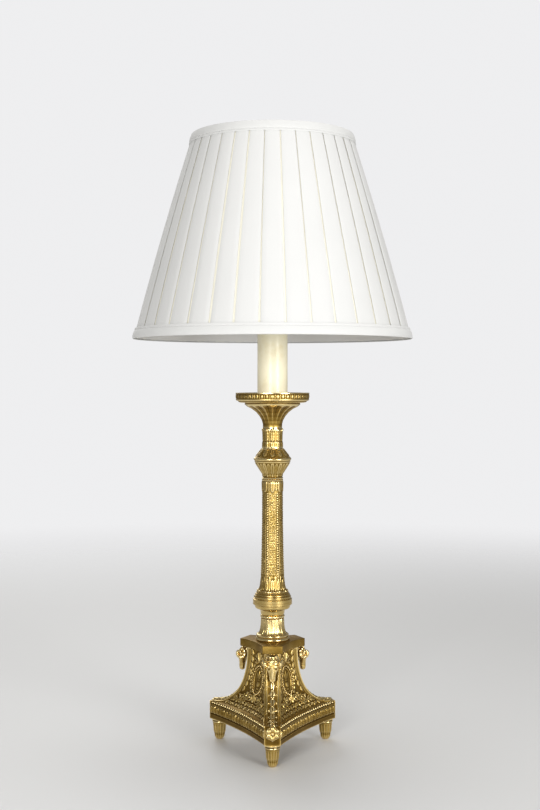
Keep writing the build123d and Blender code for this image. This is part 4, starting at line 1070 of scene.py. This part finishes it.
abacus = bmesh.new()
outline = []
abacus_chord_half = abacus_distance * sqrt(3) / 2 - abacus_width / 4
abacus_middle = abacus_distance / 2 + abacus_width * sqrt(3) / 4
for number in range(3):
    facing = radians(-30 + 120 * number)
    for step in range(abacus_side_steps + 1):
        share = 2 * step / abacus_side_steps - 1
        out = abacus_middle - abacus_hollow * (1 - share * share)
        point = Vector((out, abacus_chord_half * share, abacus_bottom + 0.05))
        point.rotate(Matrix.Rotation(facing, 3, "Z"))
        outline.append(abacus.verts.new(point))
plate = abacus.faces.new(outline)
raised = bmesh.ops.extrude_face_region(abacus, geom=[plate])
bmesh.ops.translate(
    abacus,
    vec=(0, 0, abacus_top - abacus_bottom - 0.1),
    verts=[item for item in raised["geom"] if isinstance(item, bmesh.types.BMVert)],
)
abacus.normal_update()
sharp = [edge for edge in abacus.edges if edge.calc_face_angle(0) > radians(40)]
bmesh.ops.bevel(abacus, geom=sharp, offset=0.6, segments=3, profile=0.5, material=-1, affect="EDGES")
plain_gilt = gilt_bronze("plain_gilt", 0.34, 0.06)
settle(abacus, "abacus_plate", "root", plain_gilt, ["abacus"])

# ================================================================ column base
# The column's foot, turned and then chased: two plain rings, a hollow neck of upright leaves and a
# rope ring that the knop stands on.
neck_leaves = 14
rope_strands = 30
neck_low, neck_high = 146.4, 166.2
rope_low, rope_high = 166.9, 170.6


def base_chasing(angle, height, radius):
    """Leaves up the neck and the strands of the rope ring."""
    if neck_low < height < neck_high:
        pitch = tau * radius / neck_leaves
        front_leaf = leaf(across_mm(angle, neck_leaves, radius), height - neck_low, pitch * 0.46, 20.5, 5)
        back_place = across_mm(angle, neck_leaves, radius, 0.5)
        back_leaf = leaf(back_place, height - neck_low - 2.6, pitch * 0.40, 17.5, 3)
        return max(0.75 * front_leaf, 0.45 * back_leaf) - 0.2
    if rope_low < height < rope_high:
        slant = across(angle + height * 0.045, rope_strands)
        return 0.55 * (1 - (2 * slant) ** 2) ** 0.5 * band(height, rope_low, rope_high, 1.0)
    return 0


column_base = turn_on_lathe(abacus_top + 0.05, [
    ("start", 20.6, 0),
    ("bead", 20.6, 4.5),
    ("straight", 20.0, 0.15),
    ("straight", 20.0, 0.4),
    ("bead", 20.3, 2.9),
    ("straight", 19.4, 0.2),
    ("hollow", 14.7, 19.8),
    ("straight", 14.0, 0.3),
    ("bead", 14.0, 4.6),
], 224, 0.75)
chase(column_base, base_chasing)
# painted highlight: the column's foot is set lighter as a whole
chased_piece(column_base, "column_foot", "column_base", 1.0, 10, 0.76)

# ================================================================ lower knop
# A plain knop of gilt bronze, turned and burnished on the lathe, with fine grooves between its rings.
# It stands on the rope ring, and the rod through its middle holds it there.
lathe_gilt = gilt_bronze("lathe_gilt", 0.64, 0.04, 0.12)
lower_knop_bottom = 171.0
knop = turn_on_lathe(lower_knop_bottom, [
    ("start", 14.6, 0),
    ("straight", 15.2, 0.8),
    ("hollow", 20.1, 6.8),
    ("round", 22.6, 3.9),
    ("straight", 22.6, 0.5),
    ("straight", 24.6, 0.8),
    ("straight", 25.0, 0.4),
    ("straight", 25.0, 2.7),
    ("straight", 24.7, 0.15),
    ("straight", 24.7, 0.35),
    ("straight", 25.0, 0.15),
    ("straight", 25.0, 3.3),
    ("straight", 24.5, 0.4),
    ("straight", 23.0, 0.2),
    ("straight", 23.0, 0.6),
    ("bead", 23.0, 3.0),
    ("straight", 22.0, 0.2),
    ("bead", 21.8, 2.4),
    ("straight", 20.6, 0.2),
    ("bead", 20.4, 1.9),
    ("straight", 19.4, 0.2),
    ("straight", 19.4, 0.3),
], 192, 0.8)
settle(knop, "turned_knop", "root", lathe_gilt, ["lower_knop"])

# ================================================================ shaft
# The long shaft is cast hollow and chased: six upright panels of fine scales between strips of beads,
# leaves round its flared foot, and a collar of broad leaves that hang from a beaded ring at its top.
shaft_bottom = 200.1
panel_count = 6
foot_leaves, foot_leaf_top = 12, 221.0
collar_leaves, collar_low, collar_top = 8, 326.5, 341.0
collar_beads = 26
scale_pitch, bead_step = 2.2, 3.0


def shaft_chasing(angle, height, radius):
    """Scales, strips, foot leaves and hanging collar leaves."""
    if height > collar_top - 0.1:
        return 0.5 * bump(across_mm(angle, collar_beads, radius), height - 342.5, 1.5, 1.5)
    if height > collar_low:
        half_leaf = tau * radius / collar_leaves * 0.52
        place = across_mm(angle, collar_leaves, radius)
        tip = leaf(place, collar_top - height + 3.0, half_leaf, 17.0, 1)
        if tip > 0.02:
            return 0.35 + 0.75 * tip
        between = across_mm(angle, collar_leaves, radius, 0.5)
        return 0.1 + 0.6 * leaf(between, collar_top - height, 2.6, 12.0, 1)
    if height < foot_leaf_top:
        half_leaf = tau * radius / foot_leaves * 0.5
        lower = leaf(across_mm(angle, foot_leaves, radius), height - 200.6, half_leaf, 16.0, 3)
        upper = leaf(across_mm(angle, foot_leaves, radius, 0.5), height - 203.0, 3.0, 17.5, 3)
        if max(lower, upper) > 0.02:
            return max(1.0 * lower, 0.7 * upper) + 0.15
    # panels with scales, strips with beads
    place = across(angle, panel_count)
    from_strip = (0.5 - abs(place)) * tau * radius / panel_count
    if from_strip < 2.9:
        fillet = 0.45 * band(from_strip, 2.0, 2.9, 0.4)
        bead = 0.75 * bump(from_strip, (height / bead_step) % 1 * bead_step - bead_step / 2, 1.5, 1.35)
        return max(fillet, bead)
    row = floor(height / scale_pitch)
    shift = 0.5 if row % 2 else 0.0
    scale_place = (place * 6.4 + shift) % 1 - 0.5
    scale_up = height / scale_pitch - row
    worn = 0.36 + 0.55 * noise.noise(Vector((angle * 5.0, height * 0.5, 1.0)))
    return worn * bump(scale_place * 2.2, (scale_up - 0.9) * 2.0, 1.25, 1.9) - 0.18


shaft = turn_on_lathe(shaft_bottom, [
    ("start", 19.0, 0),
    ("bead", 19.0, 1.6),
    ("straight", 18.4, 0.2),
    ("hollow", 14.3, 22.0),
    ("straight", 13.6, 22.0),
    ("straight", 12.9, 40.0),
    ("straight", 12.7, 38.8),
    ("straight", 12.7, 4.2),
    ("straight", 13.0, 10.0),
    ("straight", 12.6, 1.6),
    ("straight", 12.4, 0.3),
    ("bead", 12.4, 3.2),
], 180, 0.72)
chase(shaft, shaft_chasing)
chased_piece(shaft, "chased_shaft", "shaft", 0.7, 8)

# ================================================================ upper knop
# A knop of cast gilt bronze like two cones, with leaves chased on both and a turned band between two
# rings. It stands on the shaft, and the rod through its middle holds it there.
upper_knop_bottom = 344.1
knop_leaves = 12
lower_leaves_low, lower_leaves_high = 345.4, 364.6
upper_leaves_low, upper_leaves_high = 373.4, 382.4


def knop_chasing(angle, height, radius):
    """Leaves that point away from the band."""
    pitch = tau * radius / knop_leaves
    if lower_leaves_low < height < lower_leaves_high:
        front_leaf = leaf(across(angle, knop_leaves) * pitch, 364.8 - height, pitch * 0.50, 18.0, 3)
        back_leaf = leaf(across(angle, knop_leaves, 0.5) * pitch, 364.0 - height, pitch * 0.42, 16.0, 1)
        return max(1.0 * front_leaf, 0.6 * back_leaf) - 0.25
    if upper_leaves_low < height < upper_leaves_high:
        front_leaf = leaf(across(angle, knop_leaves) * pitch, height - 373.2, pitch * 0.50, 10.5, 1)
        return 0.9 * front_leaf - 0.2
    return 0


upper_knop = turn_on_lathe(upper_knop_bottom, [
    ("start", 13.2, 0),
    ("bead", 13.1, 2.2),
    ("straight", 12.6, 0.2),
    ("straight", 12.8, 3.6),
    ("straight", 22.2, 14.7),
    ("straight", 22.4, 0.3),
    ("bead", 22.7, 2.0),
    ("straight", 23.0, 0.2),
    ("straight", 23.3, 0.4),
    ("bead", 23.2, 3.4),
    ("straight", 22.6, 0.3),
    ("straight", 21.8, 0.9),
    ("straight", 14.2, 9.6),
    ("straight", 13.4, 0.9),
], 192, 0.75)
chase(upper_knop, knop_chasing)
chased_piece(upper_knop, "leaf_knop", "upper_knop", 0.8)

# ================================================================ capital neck
# A short neck of cast gilt bronze between the knop and the trumpet: tall leaves that turn out at the
# top, chased over a small ring of hanging leaves. The rod holds it.
capital_bottom = 383.1
capital_leaves = 10
hanging_leaves_top = 391.5


def capital_chasing(angle, height, radius):
    """Leaves of the capital."""
    pitch = tau * radius / capital_leaves
    place = across(angle, capital_leaves)
    if height < hanging_leaves_top:
        return 0.7 * leaf(place * pitch, hanging_leaves_top - height, pitch * 0.5, 8.6, 1) + 0.1
    tall_leaf = leaf(place * pitch, height - 390.5, pitch * 0.52, 18.5, 5)
    back_place = across(angle, capital_leaves, 0.5) * pitch
    back_leaf = leaf(back_place, height - 391.0, pitch * 0.42, 16.0, 3)
    turned_out = 0.8 * band(height, 404.6, 408.1, 1.2)
    return max(0.95 * tall_leaf, 0.5 * back_leaf) - 0.2 + turned_out * max(0, 1 - abs(place) * 3)


capital = turn_on_lathe(capital_bottom, [
    ("start", 13.2, 0),
    ("straight", 12.9, 8.2),
    ("straight", 12.5, 0.3),
    ("straight", 12.6, 8.0),
    ("straight", 13.1, 7.6),
    ("straight", 12.9, 0.85),
], 180, 0.7)
chase(capital, capital_chasing)
chased_piece(capital, "leaf_capital", "capital_neck", 0.8)

# ================================================================ trumpet under the pan
# A trumpet of cast gilt bronze: sixteen ribbed leaves that spread out under the pan. Its wide end
# carries the pan, and the rod draws the two together.
trumpet_bottom = 408.1
trumpet_leaves = 16


def trumpet_chasing(angle, height, radius):
    """Tall leaves, each with a sharp middle rib."""
    place = abs(across(angle, trumpet_leaves)) * 2
    grow = min(1, max(0, (height - 412) / 14))
    valley = place ** 2.2
    rib = max(0, 1 - (place / 0.30) ** 2)
    return grow * (0.45 * rib - (0.15 + 0.016 * radius) * valley) * band(height, 408.6, 437.6, 1.2)


trumpet = turn_on_lathe(trumpet_bottom, [
    ("start", 12.3, 0),
    ("straight", 12.3, 5.5),
    ("straight", 13.5, 5.2),
    ("straight", 16.2, 5.2),
    ("straight", 20.4, 5.1),
    ("straight", 26.4, 4.6),
    ("straight", 31.6, 2.5),
    ("straight", 33.4, 0.9),
    ("straight", 34.6, 0.9),
], 192, 0.75)
curved = [vertex for vertex in trumpet.verts if 409 < vertex.co.z < 437]
bmesh.ops.smooth_vert(
    trumpet, verts=curved, factor=0.5, use_axis_x=True, use_axis_y=True, use_axis_z=True
)
chase(trumpet, trumpet_chasing)
# painted shade: the trumpet is set darker as a whole
chased_piece(trumpet, "fluted_trumpet", "pan_trumpet", 0.8, 12, 0.38)

# ================================================================ drip pan
# A shallow turned pan of gilt bronze. A band of small leaves is chased round its rim, its underside is
# domed and its floor is plain. A nut on the rod holds it.
pan_bottom = 438.1
rim_leaves = 44
rim_radius = 45.5
rim_low, rim_middle, rim_high = 445.8, 449.3, 452.3


def pan_chasing(angle, height, radius):
    """Leaf and egg band round the rim."""
    if radius > rim_radius and rim_low < height < rim_high:
        pitch = tau * radius / rim_leaves
        above_middle = height - rim_middle
        egg = bump(across(angle, rim_leaves) * pitch, above_middle, 1.9, 2.7)
        dart = bump(across(angle, rim_leaves, 0.5) * pitch, above_middle, 0.8, 3.0)
        return max(0.65 * egg, 0.45 * dart) - 0.3
    return 0


pan = turn_on_lathe(pan_bottom, [
    ("start", 34.9, 0),
    ("bead", 35.2, 2.4),
    ("straight", 35.2, 0.4),
    ("straight", 38.8, 0.25),
    ("round", 44.0, 2.2),
    ("round", 46.9, 2.2),
    ("straight", 46.9, 6.9),
    ("straight", 47.3, 0.25),
    ("bead", 47.2, 1.0),
    ("straight", 44.0, 0.0),
    ("straight", 42.4, -0.8),
    ("straight", 20.0, 0.0),
], 352, 0.7)
chase(pan, pan_chasing)
# painted shade: the pan is set darker as a whole
chased_piece(pan, "drip_dish", "drip_pan", 0.8, 10, 0.40)

# ================================================================ candle sleeve
# A tube of cream-coloured fibre that hides the rod like the stub of a candle. It stands on the pan
# over its seat, and its shape and tone are a little uneven.


def box_mm(node):
    """Lowest and highest corner of a CAD node, in millimetres."""
    low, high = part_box(node)
    return low * 1000, high * 1000


sleeve_low, sleeve_high = box_mm("candle_sleeve")
sleeve = turn_on_lathe(sleeve_low.z, [
    ("start", sleeve_high.x - 0.35, 0),
    ("round", sleeve_high.x - 0.05, 0.4),
    ("straight", sleeve_high.x - 0.05, sleeve_high.z - sleeve_low.z - 0.8),
    ("round", sleeve_high.x - 0.35, 0.4),
], 96, 2.5, bore=sleeve_high.x - 1.2)
chase(sleeve, lambda angle, height, radius: 0.05 * noise.noise(Vector((angle * 1.5, height * 0.05, 3.0))))
cream, tree, wax = new_material("candle_cream", {"Roughness": 0.42, "Coat Weight": 0.15})
smear = sum_of(tree, (noise_at(tree, 22, 3), 0.7, 0), (noise_at(tree, 160, 3), 0.3, 0))
cream_tones = [(0.28, (0.86, 0.76, 0.47)), (0.46, (0.95, 0.88, 0.64)), (0.70, (0.98, 0.92, 0.70))]
tree.links.new(ramp_of(tree, smear, cream_tones), wax.inputs["Base Color"])
settle(sleeve, "cream_sleeve", "root", cream, ["candle_sleeve"])

# ================================================================ shade cover
# One long strip of fine white cloth, folded into 36 box pleats and sewn to the two rings. Each pleat
# is a flat face with the cloth folded back under both of its edges.
cover_low, cover_high = box_mm("shade_cover")
cover_bottom, cover_top = cover_low.z, cover_high.z
cover_height = cover_top - cover_bottom
cover_bottom_radius = cover_high.x
cover_top_radius = 102.9
cover_belly = 1.9
pleat_count = 36
pleat_layer = 0.72
cloth_thickness = 0.35
edge_gap = 0.3            # between an edge of the cloth and the end of the cover
gap_bottom, gap_top = 3.2, 2.2
return_bottom, return_top = 5.0, 8.0
narrowest_gap = 0.4
cover_rows = 26


def cover_radius(height):
    """Radius of the outside of the pleats at a height."""
    share = (height - cover_bottom) / cover_height
    straight = cover_bottom_radius + (cover_top_radius - cover_bottom_radius) * share
    return straight + cover_belly * 4 * share * (1 - share)


# a pleat from the middle of one gap to the next: edge it hangs on, shift from it in returns, layer
pleat_path = [
    ("gap", 0, 0), ("left", 1.0, 0), ("left", 1.06, 0.5), ("left", 1.0, 1), ("left", 0.15, 1),
    ("left", -0.04, 1.3), ("left", -0.05, 1.75), ("left", 0.03, 2), ("face", 0.25, 2), ("face", 0.5, 2),
    ("face", 0.75, 2), ("right", 0.03, 2), ("right", -0.05, 1.75), ("right", -0.04, 1.3), ("right", 0.15, 1),
    ("right", 1.0, 1), ("right", 1.06, 0.5), ("right", 1.0, 0),
]
draw = random.Random(11)
lean = [draw.uniform(-0.35, 0.35) for number in range(pleat_count + 1)]
lift = [draw.uniform(-0.10, 0.10) for number in range(pleat_count + 1)]
gap_change = [draw.uniform(-0.8, 0.9) for number in range(pleat_count + 1)]


def half_gap(number, share):
    """Half of the gap before a pleat, at a share of the way up. Each gap wanders in its own way."""
    gap = gap_bottom + (gap_top - gap_bottom) * share
    return max(narrowest_gap, gap + gap_change[number] * sin(pi * share * 0.8)) / 2


def cover_point(column, row):
    """Point of the folded cloth, with its layer."""
    share = row / cover_rows
    height = cover_bottom + edge_gap + (cover_height - 2 * edge_gap) * share
    number, step = divmod(column, len(pleat_path))
    number %= pleat_count
    next_number = (number + 1) % pleat_count
    kind, shift, layer = pleat_path[step]
    outside = cover_radius(height) - cloth_thickness
    back = return_bottom + (return_top - return_bottom) * share
    pitch = tau * outside / pleat_count
    wander = lean[number] * sin(pi * share)
    left = half_gap(number, share) + wander
    right = pitch - half_gap(next_number, share) + lean[next_number] * sin(pi * share)
    if kind == "gap":
        along = wander
    elif kind == "left":
        along = left + back * shift
    elif kind == "right":
        along = right - back * shift
    else:
        along = left + (right - left) * shift
    radius = outside - pleat_layer * (2 - layer) + lift[number] * (layer == 2)
    if kind == "face":
        radius += 0.22 * (1 - abs(2 * shift - 1) * 0.5)
    angle = (number + along / pitch) * tau / pleat_count - pi / 2 - pi / pleat_count
    return Vector((radius * cos(angle), radius * sin(angle), height)), Vector((layer, 0, 0))


cover, facts = moved_grid(pleat_count * len(pleat_path), cover_rows, cover_point)
# painted light: the cloth deep in the folds, between the pleats, is painted lighter and creamier than the
# pleats' faces
deep = cover.verts.layers.float.new("deep")
for vertex in cover.verts:
    vertex[deep] = 1 - min(1, vertex[facts].x)
cover.verts.layers.float_vector.remove(facts)
bmesh.ops.solidify(cover, geom=cover.faces[:], thickness=cloth_thickness)

# plain weave: threads over a light shade, used by every cloth of the shade
weave, weave_in, weave_out = node_group(
    "plain_weave",
    [("Colour", "NodeSocketColor")],
    [("Color", "NodeSocketColor"), ("Height", "NodeSocketFloat")],
)
where_on_cloth = add_node(weave, "ShaderNodeTexCoord")
warp = add_node(weave, "ShaderNodeTexWave", {"Scale": 420, "Distortion": 1.2})
warp.bands_direction = "Z"
weave.links.new(where_on_cloth.outputs["Object"], warp.inputs["Vector"])
threads = sum_of(weave, (warp.outputs["Fac"], 0.5, 0), (noise_at(weave, 900, 3), 0.8, 0))
tone = sum_of(weave, (threads, 0.05, 0.90), (noise_at(weave, 14), 0.06, 0))
toned = add_node(weave, "ShaderNodeVectorMath")
toned.operation = "SCALE"
join(
    weave,
    (threads, weave_out.inputs["Height"]),
    (weave_in.outputs["Colour"], toned.inputs[0]),
    (tone, toned.inputs["Scale"]),
    (toned.outputs[0], weave_out.inputs["Color"]),
)


thread_strength, thread_depth = 0.25, 0.0002


def cloth(name, colour, painted_fold_light=None):
    """Plain-woven cloth of one colour, with painted light where the folds are marked as deep."""
    material, tree, surface = new_material(name, {"Roughness": 0.85, "Sheen Weight": 0.15})
    finish = add_node(tree, "ShaderNodeGroup")
    finish.node_tree = weave
    finish.inputs["Colour"].default_value = (*colour, 1)
    if painted_fold_light:
        folds = ramp_of(tree, mark_of(tree, "deep"), [(0.0, colour), (1.0, painted_fold_light)])
        tree.links.new(folds, finish.inputs["Colour"])
    tree.links.new(finish.outputs["Color"], surface.inputs["Base Color"])
    raise_grain(tree, surface, finish.outputs["Height"], thread_strength, thread_depth)
    return material


# the second colour is painted light deep in the folds
white_cloth = cloth("white_shade_cloth", (0.712, 0.712, 0.698), (0.96, 0.93, 0.80))
cover_piece = settle(cover, "pleated_cover", "shade", white_cloth, ["shade_cover"], crease=60)

# ================================================================ lining
# A cone of thin off-white cloth, cut as a sector of a ring, stretched inside the frame and sewn to its
# two rings. The cloth lies a little further in between the ribs.
lining_low, lining_high = box_mm("shade_lining")
lining_inset = cover_bottom_radius - lining_high.x
lining_rows, lining_columns = 24, 144
lining_edge_gap = 0.2


def lining_point(column, row):
    """Point of the lining, drawn a little to the ribs of the frame."""
    share = row / lining_rows
    height = lining_low.z + lining_edge_gap + (lining_high.z - lining_low.z - 2 * lining_edge_gap) * share
    angle = tau * column / lining_columns
    sag = 0.25 * abs(sin(angle * 4)) * sin(pi * share)
    radius = cover_radius(height) - lining_inset - 0.05 - sag
    return Vector((radius * cos(angle), radius * sin(angle), height))


lining = moved_grid(lining_columns, lining_rows, lining_point, marked=False)
bmesh.ops.solidify(lining, geom=lining.faces[:], thickness=0.3)
lining_cloth = cloth("lining_cloth", (0.72, 0.71, 0.69))
lining_piece = settle(
    lining, "cloth_lining", "shade", lining_cloth, ["shade_lining"], crease=60
)

# ================================================================ trims
# Each edge of the shade is bound with a strip of the same cloth, folded over the edge and filled out
# with a cord, with a narrow flat fold beside the roll.
trim_columns = 192
roll_share, roll_steps = 0.76, 12
flat_share, flat_steps = 0.22, 6


def trim_ring(name, node, upright, drawn_in):
    """Folded binding. Its section is a roll and a flat fold; upright says which end the roll is at."""
    low, high = box_mm(node)
    outer = high.x - drawn_in
    tall = high.z - low.z
    section = []
    for step in range(roll_steps + 1):
        angle = pi * step / roll_steps
        section.append((-1.5 + 1.45 * sin(angle), (1 - cos(angle)) / 2 * tall * roll_share))
    for step in range(flat_steps + 1):
        angle = pi * step / flat_steps
        up = tall * (roll_share + 0.01) + (1 - cos(angle)) / 2 * tall * flat_share
        section.append((-1.6 + 0.7 * sin(angle), up))
    rows = len(section) - 1
    edge_radius = cover_radius(cover_bottom if upright else cover_top)
    seam = random.Random(5)
    ripple = [seam.uniform(-0.06, 0.06) for step in range(trim_columns // 2)]

    def trim_point(column, row):
        out, up = section[row]
        angle = tau * column / trim_columns
        inwards = 0.1 + up * (tall - 0.2) / tall
        height = low.z + inwards if upright else high.z - inwards
        lean_out = cover_radius(min(max(height, cover_bottom), cover_top)) - edge_radius
        puckered = ripple[column // 2 % len(ripple)] * (0 < row < rows)
        radius = outer + out + lean_out * 0.9 + puckered
        return Vector((radius * cos(angle), radius * sin(angle), height))

    ring = moved_grid(trim_columns, rows, trim_point, marked=False)
    bmesh.ops.solidify(ring, geom=ring.faces[:], thickness=0.5)
    piece = settle(ring, name, "shade", white_cloth, [node], crease=70)


trim_ring("bottom_binding", "shade_bottom_trim", True, 0.0)
trim_ring("top_binding", "shade_top_trim", False, 3.4)

# ================================================================ rod, its nuts and the fixing screws
# Zinc-plated steel: the hollow threaded rod that everything is strung on, its nuts and washers in the
# base, on the pan and under the harp's saddle, and the screws of the ram's heads.
drawn_grain_depth = 0.0002


def metal_finish(name, colour, roughness, grain_scale, stretch, grain, metallic=1.0):
    """Metal or enamel with an even colour, a fine grain along one axis and slightly uneven gloss."""
    material, tree, surface = new_material(name, {"Metallic": metallic})
    place = add_node(tree, "ShaderNodeTexCoord")
    squeeze = add_node(tree, "ShaderNodeMapping", {"Scale": stretch})
    marks = add_node(tree, "ShaderNodeTexNoise", {"Scale": grain_scale, "Detail": 3})
    both = sum_of(tree, (marks.outputs["Fac"], 0.5, 0), (noise_at(tree, 60, 3), 0.5, 0))
    dark = tuple(channel * 0.78 for channel in colour)
    light = tuple(min(1, channel * 1.12) for channel in colour)
    tones = ramp_of(tree, both, [(0.32, dark), (0.52, colour), (0.72, light)])
    join(
        tree,
        (place.outputs["Object"], squeeze.inputs["Vector"]),
        (squeeze.outputs["Vector"], marks.inputs["Vector"]),
        (tones, surface.inputs["Base Color"]),
        (sum_of(tree, (both, 0.25, roughness - 0.12)), surface.inputs["Roughness"]),
    )
    raise_grain(tree, surface, marks.outputs["Fac"], grain, drawn_grain_depth)
    return material


def finish_nodes(material, *nodes):
    """Gives CAD nodes that stay as they are their material."""
    for node in nodes:
        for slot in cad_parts[node].material_slots:
            slot.link = "OBJECT"
            slot.material = material


finish_nodes(
    metal_finish("zinc_plated_steel", (0.60, 0.60, 0.57), 0.38, 500, (1, 1, 4), 0.25),
    "tie_rod", "base_nut", "lock_washer", "base_washer",
    "column_nut", "candle_seat", "saddle_nut", "ram_head_screws",
)

# ================================================================ harp, saddle, sleeve cap and finial
# Brass: a bent strip carries two ferrules that slide down over the ends of the harp, the harp's wire
# ends in a block with a threaded stud, and the turned finial screws down on the shade's hub.
finish_nodes(
    metal_finish("lacquered_brass", (0.80, 0.60, 0.26), 0.26, 700, (1, 1, 9), 0.12),
    "harp_saddle", "ferrule_left", "ferrule_right", "harp_wire", "harp_stud", "finial", "candle_cap",
)

# ================================================================ lamp socket
# A pressed brass cap and shell with a card liner, a moulded insulator with the rolled screw shell and
# the middle contact, and a ribbed turn knob of moulded plastic on the switch's stem.
finish_nodes(
    metal_finish("pressed_brass", (0.74, 0.57, 0.27), 0.32, 420, (1, 1, 14), 0.2),
    "socket_cap", "socket_shell", "centre_contact",
)
finish_nodes(metal_finish("rolled_aluminium", (0.80, 0.80, 0.79), 0.3, 380, (1, 1, 12), 0.2), "screw_shell")
finish_nodes(metal_finish("liner_card", (0.42, 0.33, 0.23), 0.8, 900, (1, 1, 1), 0.4, 0.0), "socket_liner")
finish_nodes(
    metal_finish("black_moulding", (0.022, 0.021, 0.020), 0.36, 1400, (1, 1, 1), 0.2, 0.0),
    "socket_insulator", "switch_knob", "cord_bushing",
)

# ================================================================ shade frame
# Steel wire, spot-welded and dipped in white baked paint: two rings, eight ribs, and a spider of
# three arms with a hub that sits on the harp's stud.
finish_nodes(
    metal_finish("baked_white_paint", (0.82, 0.82, 0.79), 0.34, 260, (1, 1, 1), 0.35, 0.0),
    "shade_top_ring", "shade_bottom_ring", "shade_spider",
    *(f"shade_rib_{number}" for number in range(1, 9)),
)
